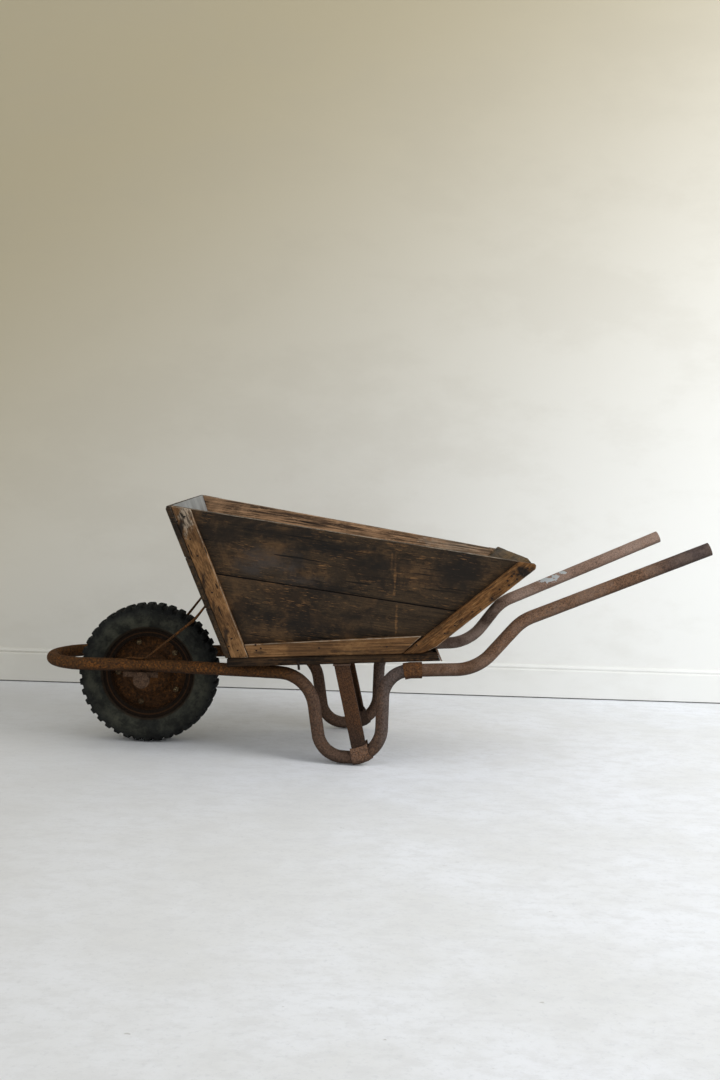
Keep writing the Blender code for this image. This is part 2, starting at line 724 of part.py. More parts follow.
def build_front(parent, wood, zinc):
    """Front boards over the ends of the sides, with a metal sheet on their inner face."""
    reach = GAP + BATTEN_THICKNESS
    outer_foot = meet(front_x, floor_seat)
    inner_foot = meet(lambda z: front_x(z, FRONT_THICKNESS), floor_seat)

    def outline(side, k):
        """Cross-section of one board where it ends at a side."""
        top_in = meet(lambda z: front_x(z, FRONT_THICKNESS), lambda x: side_top(x, side))
        levels = []
        for j in range(FRONT_BOARDS + 1):
            share = j / FRONT_BOARDS
            levels.append(inner_foot[1] + share * (top_in[1] - inner_foot[1]))
        low = levels[k] + (SHUT_GAP / 2 if k else 0)
        high = levels[k + 1] - (SHUT_GAP / 2 if k < FRONT_BOARDS - 1 else 0)
        points = []
        if k == 0:
            points += [outer_foot, inner_foot]
        else:
            points += [(front_x(low), low), (front_x(low, FRONT_THICKNESS), low)]
        points.append((front_x(high, FRONT_THICKNESS), high))
        if k == FRONT_BOARDS - 1:
            cut = high - FRONT_ARRIS
            points.append((front_x(high, FRONT_THICKNESS - FRONT_ARRIS), high))
            points.append((front_x(cut), cut))
        else:
            points.append((front_x(high), high))
        return [Vector((x, side * side_y(z, -reach), z)) for x, z in points]

    for k in range(FRONT_BOARDS):
        board("front_board_%d" % (k + 1), outline(-1, k), outline(1, k), wood, parent)

    faces = (FRONT_THICKNESS + GAP, FRONT_THICKNESS + GAP + LINING_T)
    ends = []
    for side in (-1, 1):
        points = []
        for inward in faces:
            points.append(meet(lambda z: front_x(z, inward), floor_seat))
        for inward in reversed(faces):
            points.append(meet(lambda z: front_x(z, inward), lambda x: side_top(x, side)))
        ends.append([Vector((x, side * side_y(z, SIDE_THICKNESS + GAP), z)) for x, z in points])
    board("front_lining_sheet", *ends, zinc, parent)


def build_rear(parent, wood):
    """Rear boards between the sides, leaning back, with a proud worn top edge."""
    def outline(side, part):
        proud_top = side_top(REAR_CLIP_X, side) + REAR_PROUD
        inner_foot = meet(lambda z: rear_x(z, REAR_INSET + REAR_THICKNESS), floor_seat)
        outer_foot = meet(lambda z: rear_x(z, REAR_INSET), floor_seat)
        joint = inner_foot[1] + REAR_JOINT_SHARE * (proud_top - inner_foot[1])
        inner = REAR_INSET + REAR_THICKNESS
        slope = 1 / REAR_LEAN
        drop = REAR_THICKNESS * slope / (1 + slope * slope)
        foot = joint - drop
        flare = 0.0
        if part:
            # The ends above the sides lean less, so nothing hangs over the sides' flat tops
            flare = (side_y(side_top(REAR_CLIP_X, side)) - side_y(foot)) / (proud_top - foot) - SIDE_FLARE
        if part == 0:
            high = joint - SHUT_GAP / 2
            points = [outer_foot, (rear_x(high - drop, REAR_INSET), high - drop),
                      (rear_x(high, inner), high), inner_foot]
        else:
            low = joint + SHUT_GAP / 2
            points = [(rear_x(low - drop, REAR_INSET), low - drop),
                      (rear_x(proud_top - drop, REAR_INSET), proud_top - drop),
                      (rear_x(proud_top, inner), proud_top), (rear_x(low, inner), low)]
        return [Vector((x, side * (side_y(z, SIDE_THICKNESS + GAP) + flare * (z - foot)), z))
                for x, z in points]

    for part, tag in ((0, "lower"), (1, "upper")):
        board("rear_board_" + tag, outline(-1, part), outline(1, part), wood, parent)


def build_stays(parent, rust):
    """Thin stay rods with hammered ends, from the tube's top to the front board."""
    lie_z = path_point(STAY_BEND_X, 2).z + TUBE_R + GAP + STAY_FLAT_T
    up = Vector((-FRONT_LEAN, 0, 1)).normalized()
    tail = STAY_BEND_X - STAY_TAIL_X
    for side in (-1, 1):
        board_x = front_x(STAY_TOP_Z[side]) - STAY_FLAT_T - 2 * GAP
        top = Vector((board_x, side * STAY_Y, STAY_TOP_Z[side]))
        corners = [
            Vector((STAY_TAIL_X, side * STAY_Y, lie_z)),
            Vector((STAY_BEND_X, side * STAY_Y, lie_z)),
            Vector((STAY_KNEE_X[side], side * STAY_Y, STAY_KNEE_Z[side])),
            top,
            top + up * STAY_TAB,
        ]
        points = rounded_path(corners, [STAY_BEND_R, STAY_KNEE_R, STAY_TOP_BEND_R], math.radians(20))
        cumulative = [0.0]
        for a, b in zip(points, points[1:]):
            cumulative.append(cumulative[-1] + (b - a).length)
        total = cumulative[-1]
        bm = bmesh.new()
        sections = []
        for p, run, (s, u) in zip(points, cumulative, frames(points, Vector((0, 1, 0)))):
            share = min(1.0, max(0.0, (run - tail) / STAY_FADE),
                        max(0.0, (total - STAY_TAB - run) / STAY_FADE))
            wide = STAY_FLAT_W + (STAY_R - STAY_FLAT_W) * share
            thin = STAY_FLAT_T + (STAY_R - STAY_FLAT_T) * share
            section = []
            for i in range(8):
                a = 2 * math.pi * (i + 0.5) / 8
                c, n = math.cos(a), math.sin(a)
                square = max(abs(c), abs(n))
                blend = share + (1 - share) / square
                section.append(p + s * (wide * c * blend) + u * (thin * n * blend))
            sections.append(section)
        lofted(bm, sections)
        finish("stay_rod_" + side_name(side), bm, rust, parent, 50)


def build_axle(parent, rust):
    bm = bmesh.new()
    half = BOSS_OUTER_Y + CAP_T * AXLE_IN_CAP_SHARE
    turned(bm, [(0, -half), (AXLE_R, -half), (AXLE_R, half), (0, half)], 16)
    shift(bm, 0, 0, AXLE_Z)
    finish("axle", bm, rust, parent, 40)
    for side in (-1, 1):
        tag = side_name(side)
        bm = bmesh.new()
        bore = AXLE_R + GAP
        y0 = side * (BARREL_HALF + SPACER_PLAY)
        y1 = side * (BOSS_INNER_Y - GAP)
        turned(bm, [(bore, y0), (bore + SPACER_WALL, y0), (bore + SPACER_WALL, y1), (bore, y1)], 16)
        shift(bm, 0, 0, AXLE_Z)
        finish("axle_spacer_" + tag, bm, rust, parent, 40)
        build_bracket(side, tag, parent, rust)
        bm = bmesh.new()
        y0 = side * (BOSS_OUTER_Y + GAP)
        y1 = y0 + side * CAP_T
        inner = side * (half + GAP)
        turned(bm, [(0, inner), (bore, inner), (bore, y0), (CAP_R, y0),
                    (CAP_R, y1 - side * CAP_EDGE_DROP), (CAP_R - CAP_EDGE_IN, y1), (0, y1)], 16)
        shift(bm, 0, 0, AXLE_Z)
        finish("axle_cap_" + tag, bm, rust, parent, 40)


def build_bracket(side, tag, parent, rust):
    """A plate against the underside of the tube, running down into a bored boss."""
    def plate_top(x):
        return path_point(x, 2).z - TUBE_R - GAP

    bore = AXLE_R + GAP
    low = plate_top(0.0) - BRACKET_DROP
    web = BOSS_R * WEB_SHARE
    outline = [(-BRACKET_FRONT, plate_top(-BRACKET_FRONT)), (0.0, plate_top(0.0)),
               (BRACKET_REAR, plate_top(BRACKET_REAR)), (BRACKET_REAR, low),
               (web, low), (web * WEB_TAPER, AXLE_Z), (-web * WEB_TAPER, AXLE_Z), (-web, low),
               (-BRACKET_FRONT, low)]
    bm = bmesh.new()
    mid = RUN_HALF_SPACING
    ends = []
    for y in (mid - BRACKET_PLATE_T / 2, mid + BRACKET_PLATE_T / 2):
        ends.append([Vector((x, side * y, z)) for x, z in outline])
    lofted(bm, ends)
    plate = finish("bracket_plate_" + tag, bm, rust, parent)
    bm = bmesh.new()
    turned(bm, [(0, side * BOSS_INNER_Y), (BOSS_R, side * BOSS_INNER_Y),
                (BOSS_R, side * BOSS_OUTER_Y), (0, side * BOSS_OUTER_Y)], 20)
    shift(bm, 0, 0, AXLE_Z)
    boss = finish("bracket_boss_" + tag, bm, rust, parent)
    bm = bmesh.new()
    start_y = side * (BOSS_INNER_Y - DRILL_OVERRUN)
    end_y = side * (BOSS_OUTER_Y + DRILL_OVERRUN)
    turned(bm, [(0, start_y), (bore, start_y), (bore, end_y), (0, end_y)], 16)
    shift(bm, 0, 0, AXLE_Z)
    drill = finish("bracket_bore_" + tag, bm, rust, parent)
    plate.name = "axle_bracket_" + tag
    for cutter, operation in ((boss, "UNION"), (drill, "DIFFERENCE")):
        modifier = plate.modifiers.new(operation.lower(), "BOOLEAN")
        modifier.operation = operation
        modifier.solver = "EXACT"
        modifier.object = cutter
        cutter.hide_render = True
        cutter.display_type = "WIRE"


def rim_profile(side):
    """Section of one pressed half: flat ring at the bolts, raised middle, seat and flange."""
    hole = BARREL_R + GAP
    mid = GAP / 2
    seat = BEAD_SEAT_R - GAP
    dish_back = DISH_OUT + RIM_SHEET
    slant = RIM_SHEET * (1 - DISH_ROOT / DISH_SHOULDER)
    flange_y = RIM_HALF_WIDTH + RIM_BEND * 0.75
    outer = [
        (hole, DISH_OUT),
        (DISH_R - DISH_SHOULDER, DISH_OUT),
        (DISH_R, DISH_OUT - DISH_SHOULDER),
        (DISH_R + DISH_ROOT, mid),
        (seat - RIM_BEND, mid),
        (seat, mid + RIM_BEND),
        (seat, RIM_HALF_WIDTH - SEAT_STEP),
        (seat + SEAT_STEP, RIM_HALF_WIDTH),
        (RIM_FLANGE_R - FLANGE_STEP, flange_y),
        (RIM_FLANGE_R, RIM_HALF_WIDTH + RIM_LIP_DEPTH),
    ]
    back = [
        (RIM_FLANGE_R - RIM_BEND, RIM_HALF_WIDTH + RIM_LIP_DEPTH + RIM_BEND),
        (RIM_FLANGE_R - FLANGE_STEP - RIM_BEND, flange_y + RIM_SHEET),
        (seat + SEAT_STEP - RIM_SHEET, RIM_HALF_WIDTH + RIM_SHEET),
        (seat - RIM_SHEET, RIM_HALF_WIDTH - SEAT_STEP),
        (seat - RIM_SHEET, mid + RIM_SHEET + RIM_BEND),
        (seat - RIM_SHEET - RIM_BEND, mid + RIM_SHEET),
        (DISH_R + DISH_ROOT + RIM_BEND, mid + RIM_SHEET),
        (DISH_R + RIM_SHEET, DISH_OUT - DISH_SHOULDER + slant * 0.5),
        (DISH_R - DISH_SHOULDER + slant * 0.8, dish_back),
        (hole, dish_back),
    ]
    return [(r, side * y) for r, y in outer + back]


def bolt_centres():
    for k in range(BOLT_COUNT):
        a = BOLT_ANGLE + 2 * math.pi * k / BOLT_COUNT
        yield BOLT_CIRCLE_R * math.cos(a), BOLT_CIRCLE_R * math.sin(a)


def bolt_solid(bm_target, x, z, profile, sides):
    """Stack of prisms along Y: each step of the profile is (radius, y, hexagonal)."""
    rings = []
    for radius, y, hexagonal in profile:
        ring = []
        for i in range(sides):
            a = 2 * math.pi * (i + 0.5) / sides
            r = radius
            if hexagonal:
                sector = (a % (math.pi / 3)) - math.pi / 6
                r = radius * math.cos(math.pi / 6) / math.cos(sector)
            ring.append(Vector((x + r * math.cos(a), y, z + r * math.sin(a))))
        rings.append(ring)
    lofted(bm_target, rings)


def build_wheel(parent, rubber, rust, steel):
    build_tyre(parent, rubber)
    for side in (-1, 1):
        tag = side_name(side)
        bm = bmesh.new()
        turned(bm, rim_profile(side), RIM_SEGMENTS)
        disc = finish("rim_half_" + tag, bm, rust, parent, 35)
        bm = bmesh.new()
        for x, z in bolt_centres():
            bolt_solid(bm, x, z, [(BOLT_R + GAP, -DRILL_OVERRUN, False),
                                  (BOLT_R + GAP, DRILL_OVERRUN, False)], 12)
        drill = finish("rim_drill_" + tag, bm, rust, parent)
        drill.hide_render = True
        drill.display_type = "WIRE"
        modifier = disc.modifiers.new("bolt holes", "BOOLEAN")
        modifier.solver = "EXACT"
        modifier.operation = "DIFFERENCE"
        modifier.object = drill
    seat = GAP / 2 + RIM_SHEET + GAP
    for k, (x, z) in enumerate(bolt_centres()):
        bm = bmesh.new()
        head = -seat - BOLT_HEAD_T
        bolt_solid(bm, x, z, [(BOLT_HEX_R * BOLT_FACE_SHARE, head, True),
                              (BOLT_HEX_R, head + BOLT_CHAMFER, True),
                              (BOLT_HEX_R, -seat, True), (BOLT_R, -seat, False),
                              (BOLT_R, seat + BOLT_TAIL, False)], 12)
        finish("wheel_bolt_%d" % (k + 1), bm, steel, parent)
        bm = bmesh.new()
        rings = []
        for radius, y, hexagonal in [(BOLT_HEX_R, seat, True),
                                     (BOLT_HEX_R, seat + NUT_T, True),
                                     (BOLT_R + GAP, seat + NUT_T, False),
                                     (BOLT_R + GAP, seat, False)]:
            ring = []
            for i in range(12):
                a = 2 * math.pi * (i + 0.5) / 12
                r = radius
                if hexagonal:
                    sector = (a % (math.pi / 3)) - math.pi / 6
                    r = radius * math.cos(math.pi / 6) / math.cos(sector)
                ring.append(Vector((x + r * math.cos(a), y, z + r * math.sin(a))))
            rings.append(ring)
        lofted(bm, rings, closed_ring=True)
        finish("wheel_nut_%d" % (k + 1), bm, steel, parent)
    bm = bmesh.new()
    bore = BARREL_R - BARREL_WALL
    turned(bm, [(bore, -BARREL_HALF), (BARREL_R, -BARREL_HALF),
                (BARREL_R, BARREL_HALF), (bore, BARREL_HALF)], 20)
    finish("hub_barrel", bm, rust, parent, 40)
    for side in (-1, 1):
        bm = bmesh.new()
        y0 = side * (BARREL_HALF - BUSH_LENGTH)
        y1 = side * BARREL_HALF
        inner = AXLE_R + AXLE_CLEARANCE
        outer = bore - GAP
        turned(bm, [(inner, y0), (outer, y0), (outer, y1), (inner, y1)], 20)
        finish("hub_bush_" + side_name(side), bm, steel, parent, 40)


def build_tyre(parent, rubber):
    """Open C section with square lugs across the tread, forty to the turn."""
    pitch = 2 * math.pi / TYRE_LUGS
    marks = (-LUG_SHARE / 2, LUG_SHARE / 2, 0.5 - NOTCH_SHARE / 2, 0.5 + NOTCH_SHARE / 2)
    bm = bmesh.new()

    def fine_ring(y, high, low):
        ring = []
        for k in range(TYRE_LUGS):
            for mark, radius in zip(marks, (high, high, low, low)):
                a = (k + mark) * pitch
                ring.append(bm.verts.new((radius * math.cos(a), y, radius * math.sin(a))))
        return ring

    def coarse_ring(y, radius):
        ring = []
        for k in range(TYRE_LUGS):
            a = (k - LUG_SHARE / 2) * pitch
            ring.append(bm.verts.new((radius * math.cos(a), y, radius * math.sin(a))))
        return ring

    def strip(first, second):
        n, m = len(first), len(second)
        if n == m:
            for i in range(n):
                bm.faces.new((first[i], first[(i + 1) % n], second[(i + 1) % n], second[i]))
            return
        few, many = (first, second) if n < m else (second, first)
        for k in range(len(few)):
            fan = [many[(4 * k + j) % len(many)] for j in range(5)]
            nxt = few[(k + 1) % len(few)]
            for a, b in zip(fan[:2], fan[1:3]):
                bm.faces.new((few[k], a, b))
            bm.faces.new((few[k], fan[2], nxt))
            for a, b in zip(fan[2:4], fan[3:5]):
                bm.faces.new((nxt, a, b))

    bead_in = RIM_HALF_WIDTH - BEAD_TOE
    bead_out = RIM_HALF_WIDTH - GAP * 2
    width = TYRE_HALF_WIDTH
    cavity = width - TYRE_WALL
    tread = TREAD_HALF_WIDTH
    height = WHEEL_R - RIM_FLANGE_R
    edge = tread + SHOULDER_OUT
    outer = [
        (BEAD_SEAT_R + SEAT_STEP, bead_out),
        (RIM_FLANGE_R - FLANGE_STEP, bead_out),
        (RIM_FLANGE_R + RIM_SHEET, bead_out + BEAD_ROUND),
        (RIM_FLANGE_R + height * SIDEWALL_LOW_SHARE, width - SIDEWALL_CROWN),
        (RIM_FLANGE_R + height * SIDEWALL_MID_SHARE, width),
        (RIM_FLANGE_R + height * SIDEWALL_HIGH_SHARE, width - SIDEWALL_CROWN * 0.4),
    ]
    rings = [coarse_ring(-y, r) for r, y in outer]
    for y, drop, share in ((-edge, SHOULDER_DROP, SHOULDER_LUG_SHARE), (-tread, CROWN_DROP, 1.0),
                           (0.0, 0.0, 1.0), (tread, CROWN_DROP, 1.0),
                           (edge, SHOULDER_DROP, SHOULDER_LUG_SHARE)):
        high = WHEEL_R - drop
        rings.append(fine_ring(y, high, high - LUG_DEPTH * share))
    rings += [coarse_ring(y, r) for r, y in reversed(outer)]
    crown = WHEEL_R - LUG_DEPTH - TYRE_WALL
    inner = [
        (BEAD_SEAT_R + GAP * 3, bead_in),
        (RIM_FLANGE_R - BEAD_TOE, bead_in + GAP * 3),
        (RIM_FLANGE_R + height * SIDEWALL_LOW_SHARE * 0.65, cavity - TYRE_WALL * 0.75),
        (RIM_FLANGE_R + height * SIDEWALL_MID_SHARE * 0.92, cavity),
        (crown - LUG_DEPTH, tread - FLANGE_STEP),
        (crown, tread * 0.36),
    ]
    rings += [coarse_ring(y, r) for r, y in inner]
    rings += [coarse_ring(-y, r) for r, y in reversed(inner)]
    for first, second in zip(rings, rings[1:] + rings[:1]):
        strip(first, second)
    finish("tyre", bm, rubber, parent, 40)


def build():
    clear_scene()
    rust = material("rust_coarse", (0.128, 0.055, 0.028), 0.92, 0.35)
    rust_smooth = material("rust_smooth", (0.105, 0.058, 0.042), 0.70, 0.45)
    disc_rust = material("rust_orange", (0.150, 0.058, 0.020), 0.95, 0.25)
    bolt_steel = material("bolt_steel", (0.260, 0.190, 0.110), 0.60, 0.80)
    rubber = material("aged_rubber", (0.020, 0.025, 0.024), 0.85, 0.0)
    dark_wood = material("dark_board", (0.060, 0.035, 0.018), 0.72, 0.0)
    pale_wood = material("batten_wood", (0.155, 0.082, 0.034), 0.75, 0.0)
    floor_wood = material("floor_wood", (0.048, 0.031, 0.020), 0.85, 0.0)
    zinc = material("dull_zinc", (0.300, 0.300, 0.290), 0.60, 0.6)

    middle = (HANDLE_END_X + TUBE_R * math.sin(math.atan2(
        HANDLE_END_Z - HANDLE_RISE_Z, HANDLE_END_X - HANDLE_RISE_X)) - NOSE_REACH) / 2
    body = bpy.data.objects.new("barrow_frame", None)
    body.location = (-middle, 0, 0)
    bpy.context.collection.objects.link(body)
    wheel = bpy.data.objects.new("wheel_axis", None)
    wheel.location = (0, 0, AXLE_Z)
    wheel.parent = body
    bpy.context.collection.objects.link(wheel)

    build_frame(body, rust, rust_smooth)
    build_feet(body, rust)
    build_braces(body, rust_smooth)
    build_floor(body, floor_wood, rust)
    build_sides(body, dark_wood, pale_wood)
    build_front(body, dark_wood, zinc)
    build_rear(body, dark_wood)
    build_stays(body, rust)
    build_axle(body, rust)
    build_wheel(wheel, rubber, disc_rust, bolt_steel)


build()
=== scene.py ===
"""Wooden-bodied wheelbarrow: worn boards, rusty bent tubes, lugged wheel, light and camera.

Metres, +X toward the handles, +Y to the pusher's right hand, +Z up, ground at zero.
"""
import math
import random

import bpy
from mathutils import Matrix, Vector, noise


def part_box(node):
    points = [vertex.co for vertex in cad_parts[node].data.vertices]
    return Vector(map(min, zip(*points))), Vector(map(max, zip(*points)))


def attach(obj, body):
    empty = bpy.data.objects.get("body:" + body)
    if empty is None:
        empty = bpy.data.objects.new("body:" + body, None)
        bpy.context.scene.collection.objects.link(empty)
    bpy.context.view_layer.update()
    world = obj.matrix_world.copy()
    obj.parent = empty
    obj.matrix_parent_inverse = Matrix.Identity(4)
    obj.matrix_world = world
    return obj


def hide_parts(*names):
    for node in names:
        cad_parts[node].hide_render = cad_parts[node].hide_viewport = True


bl_info = {
    "name": "Weathered Wheelbarrow",
    "version": (1, 0, 0),
    "blender": (4, 5, 0),
    "location": "View3D > Sidebar > Barrow",
    "description": "Dresses the barrow's frame with worn boards, rusty tubes and its wheel",
    "category": "Object",
}

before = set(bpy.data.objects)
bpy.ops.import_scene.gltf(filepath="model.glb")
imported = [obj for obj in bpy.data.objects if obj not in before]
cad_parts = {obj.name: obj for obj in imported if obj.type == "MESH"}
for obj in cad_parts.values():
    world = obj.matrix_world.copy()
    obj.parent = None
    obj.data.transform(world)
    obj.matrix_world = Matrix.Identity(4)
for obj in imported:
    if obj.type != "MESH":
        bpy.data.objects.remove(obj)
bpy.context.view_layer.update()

# Distances along the barrow start at the axle. The model's own middle lies MIDDLE behind it.
# A slope is height over length. A lean or flare is how far a wall moves out over its height.
AXLE = Vector((-0.57815, 0.0, (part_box("axle")[0].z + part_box("axle")[1].z) / 2))
MIDDLE = -AXLE.x
LEG_REAR_X = 0.6267
TUBE_JOINT_X = 0.7010
HANDLE_BEND_X = 0.8619
LEG_FOOT_Z = 0.01895
SIDE_FLARE = 0.282
SIDE_FOOT_Y = 0.199
SIDE_FOOT_Z = 0.262
BATTEN_FACE = 0.0168
BOARD_SLOPE = -0.1269
FLOOR_SLOPE = 0.0613
FRONT_LEAN = 0.379
FRONT_FOOT_X = 0.229
FRONT_FOOT_Z = 0.2561
REAR_LEAN = 1.105
WALL_Y = 0.75
ACROSS = Vector((0, 1, 0))
UP = Vector((0, 0, 1))


def length(name, default, description, **more):
    return bpy.props.FloatProperty(name=name, description=description, default=default,
                                   min=0.0, unit="LENGTH", precision=4, **more)


def colour(name, default, description):
    return bpy.props.FloatVectorProperty(name=name, description=description, default=default,
                                         size=3, min=0.0, max=1.0, subtype="COLOR")


class BarrowSizes(bpy.types.PropertyGroup):
    """Sizes of the finished pieces"""
    tube_diameter: length("Tube diameter", 0.0337, "Outside diameter of the frame tube")
    tube_wall: length("Tube wall", 0.0032, "Thickness of the frame tube's wall")
    board_rounding: length("Board rounding", 0.0022, "How far the boards' arrises are worn")
    batten_rounding: length("Batten rounding", 0.0032, "How far the battens' arrises are worn")
    iron_rounding: length("Iron rounding", 0.0009, "How far rust has rounded the flat iron")
    chip_depth: length("Chip depth", 0.0016, "Deepest chips along the boards' arrises")
    wheel_radius: length("Wheel radius", 0.1875, "Radius over the tyre's lugs")
    lug_depth: length("Lug depth", 0.0060, "Height of the lugs over the tyre's carcass")
    lug_count: bpy.props.IntProperty(name="Lugs", description="Lugs round the tyre on each side",
                                     default=40, min=12, max=80)
    nail_radius: length("Nail head", 0.0024, "Radius of a nail's head")


class BarrowColours(bpy.types.PropertyGroup):
    """Colours of the finishes"""
    rust_orange: colour("Fresh rust", (0.240, 0.086, 0.018), "Orange bloom in the pits of the tube")
    rust_brown: colour("Old rust", (0.090, 0.040, 0.012), "Main colour of the rusty tube")
    rust_dark: colour("Dark rust", (0.022, 0.013, 0.009), "Hollows and shadows of the rust")
    wheel_rust: colour("Wheel rust", (0.058, 0.025, 0.009), "Flaky rust of the pressed rim")
    wood_dark: colour("Stained wood", (0.014, 0.010, 0.007), "Darkest stain on the boards")
    wood_mid: colour("Board brown", (0.058, 0.037, 0.020), "Main colour of the boards")
    wood_scratch: colour("Scratched wood", (0.260, 0.130, 0.050), "Wood that scratches lay bare")
    batten_brown: colour("Batten brown", (0.212, 0.105, 0.041), "Main colour of the battens")
    batten_pale: colour("Batten pale", (0.420, 0.240, 0.100), "Pale fibres of the battens")
    weathered_grey: colour("Weathered grey", (0.400, 0.325, 0.240), "Wood greyed by weather")
    rubber: colour("Rubber", (0.0108, 0.0114, 0.0106), "Tyre rubber")
    dust: colour("Dust", (0.060, 0.060, 0.043), "Dust on the tyre's side")
    zinc: colour("Zinc", (0.330, 0.335, 0.330), "Dull sheet inside the front")
    floor: colour("Floor", (0.850, 0.868, 0.900), "Pale floor")
    wall: colour("Wall", (0.856, 0.856, 0.824), "Plain wall behind")


def sizes():
    return bpy.context.scene.barrow_sizes


def colours():
    return bpy.context.scene.barrow_colours


# Modelling by hand: selection, modes, modifiers

def alone(obj):
    """Leave only this object selected and active."""
    if bpy.context.object and bpy.context.object.mode != "OBJECT":
        bpy.ops.object.mode_set(mode="OBJECT")
    bpy.ops.object.select_all(action="DESELECT")
    obj.select_set(True)
    bpy.context.view_layer.objects.active = obj


def edit(obj, kind="VERT", everything=True):
    alone(obj)
    bpy.ops.object.mode_set(mode="EDIT")
    bpy.ops.mesh.select_mode(type=kind)
    bpy.ops.mesh.select_all(action="SELECT" if everything else "DESELECT")


def leave():
    bpy.ops.object.mode_set(mode="OBJECT")


def pick_verts(obj, test):
    """Select only the vertices that pass a test on their place, and stay in edit mode."""
    edit(obj, "VERT", False)
    leave()
    for vert in obj.data.vertices:
        vert.select = test(vert.co)
    bpy.ops.object.mode_set(mode="EDIT")


def apply_modifier(obj, kind, **settings):
    alone(obj)
    modifier = obj.modifiers.new(kind.title(), kind)
    for key, value in settings.items():
        setattr(modifier, key, value)
    bpy.ops.object.modifier_apply(modifier=modifier.name)


def named(obj, name):
    obj.name = name
    obj.data.name = name
    return obj


def settle(obj):
    """Put the object's place into its mesh."""
    alone(obj)
    bpy.ops.object.transform_apply(location=True, rotation=True, scale=True)


def face_out(obj):
    edit(obj, "FACE")
    bpy.ops.mesh.normals_make_consistent(inside=False)
    leave()


def smooth(obj, degrees=40):
    alone(obj)
    bpy.ops.object.shade_smooth_by_angle(angle=math.radians(degrees))


def added(add, name, **settings):
    """Add a primitive with nothing else selected."""
    bpy.ops.object.select_all(action="DESELECT")
    add(**settings)
    return named(bpy.context.object, name)


def join(objs, name):
    bpy.ops.object.select_all(action="DESELECT")
    for obj in objs:
        obj.select_set(True)
    bpy.context.view_layer.objects.active = objs[0]
    bpy.ops.object.join()
    return named(objs[0], name)


def copied(obj, matrix):
    twin = obj.copy()
    twin.data = obj.data.copy()
    twin.data.transform(matrix)
    bpy.context.collection.objects.link(twin)
    return twin


def from_node(node, name):
    """A merged copy of a plain solid, with its flat faces whole again."""
    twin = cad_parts[node].copy()
    twin.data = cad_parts[node].data.copy()
    for key in list(twin.keys()):
        del twin[key]
    twin.parent = None
    bpy.context.collection.objects.link(twin)
    named(twin, name)
    twin.data.materials.clear()
    edit(twin)
    bpy.ops.mesh.customdata_custom_splitnormals_clear()
    bpy.ops.mesh.remove_doubles(threshold=0.00001)
    bpy.ops.mesh.dissolve_limited(angle_limit=math.radians(1.0))
    leave()
    return twin


def hand_over(obj, material, body, slot, *nodes):
    """Finish a piece: its material, what it rides on and the solids it stands for."""
    obj.data.materials.clear()
    obj.data.materials.append(material)
    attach(obj, body)
    if nodes:
        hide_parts(*nodes)


def dress(node, material):
    """Give a plain solid that stays a better finish."""
    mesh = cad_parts[node].data
    mesh.materials.clear()
    mesh.materials.append(material)


def rust_away(obj, depth, scale, seed):
    """Sink the surface unevenly, never outward."""
    shift = Vector((seed, seed * 0.7, -seed))
    moves = []
    for vert in obj.data.vertices:
        here = vert.co * scale + shift
        level = noise.noise(here) * 0.6 + noise.noise(here * 2.7) * 0.4
        moves.append(vert.normal * (-depth * (0.5 + level)))
    for vert, move in zip(obj.data.vertices, moves):
        vert.co += move


def mark_underside_shade(obj):
    """Note how far each point of the surface looks down, for the painted shade that darkens the
    undersides.
    """
    mark = obj.data.attributes.new("under", "FLOAT", "POINT")
    mark.data.foreach_set("value", [max(0.0, -vert.normal.z) for vert in obj.data.vertices])


def cut_rows(obj, along, step):
    """Cut the mesh square to a direction at even steps."""
    along = along.normalized()
    spans = [vert.co.dot(along) for vert in obj.data.vertices]
    low, high = min(spans), max(spans)
    count = max(1, round((high - low) / step))
    edit(obj)
    for k in range(1, count):
        bpy.ops.mesh.select_all(action="SELECT")
        place = along * (low + (high - low) * k / count)
        bpy.ops.mesh.bisect(plane_co=place, plane_no=along)
    leave()


def worn_plank(node, name, along, across, rounding, seed, rubbed=None, step=0.022, chips=1.0):
    """A board or batten with rounded, chipped arrises and a mark where it is rubbed bare."""
    obj = from_node(node, name)
    edit(obj, "EDGE")
    bpy.ops.mesh.bevel(offset=rounding, segments=3, profile=0.5, affect="EDGES", clamp_overlap=True)
    leave()
    verts = obj.data.vertices
    broad = [face.normal.copy() for face in obj.data.polygons if face.area > 0.00012
             and face.area > rounding * 0.75 * max((verts[a].co - verts[b].co).length
                                                   for a, b in face.edge_keys)]
    cut_rows(obj, along, step)
    cut_rows(obj, across, step)
    arris = [1.0] * len(obj.data.vertices)
    top = [0.0] * len(obj.data.vertices)
    for face in obj.data.polygons:
        if any(face.normal.dot(n) > 0.999 for n in broad):
            for index in face.vertices:
                arris[index] = 0.0
                if face.normal.z > 0.93:
                    top[index] = 0.8
    bared = [0.0] * len(arris)
    if rubbed:
        bared = [max(level, high) * rubbed(vert.co) for vert, level, high
                 in zip(obj.data.vertices, arris, top)]
    mark = obj.data.attributes.new("wear", "FLOAT", "POINT")
    mark.data.foreach_set("value", bared)
    shift = Vector((seed, -seed * 1.3, seed * 0.6))
    chip = sizes().chip_depth * chips
    moves = []
    for vert, level in zip(obj.data.vertices, arris):
        here = vert.co * 9 + shift
        sway = noise.noise(here) * 0.5 + 0.5
        bite = max(0.0, noise.noise(vert.co * 55 + shift) - 0.12) * 2.2 * level
        moves.append(vert.normal * -(0.0005 * sway + chip * min(1.0, bite)))
    for vert, move in zip(obj.data.vertices, moves):
        vert.co += move
    smooth(obj)
    return obj


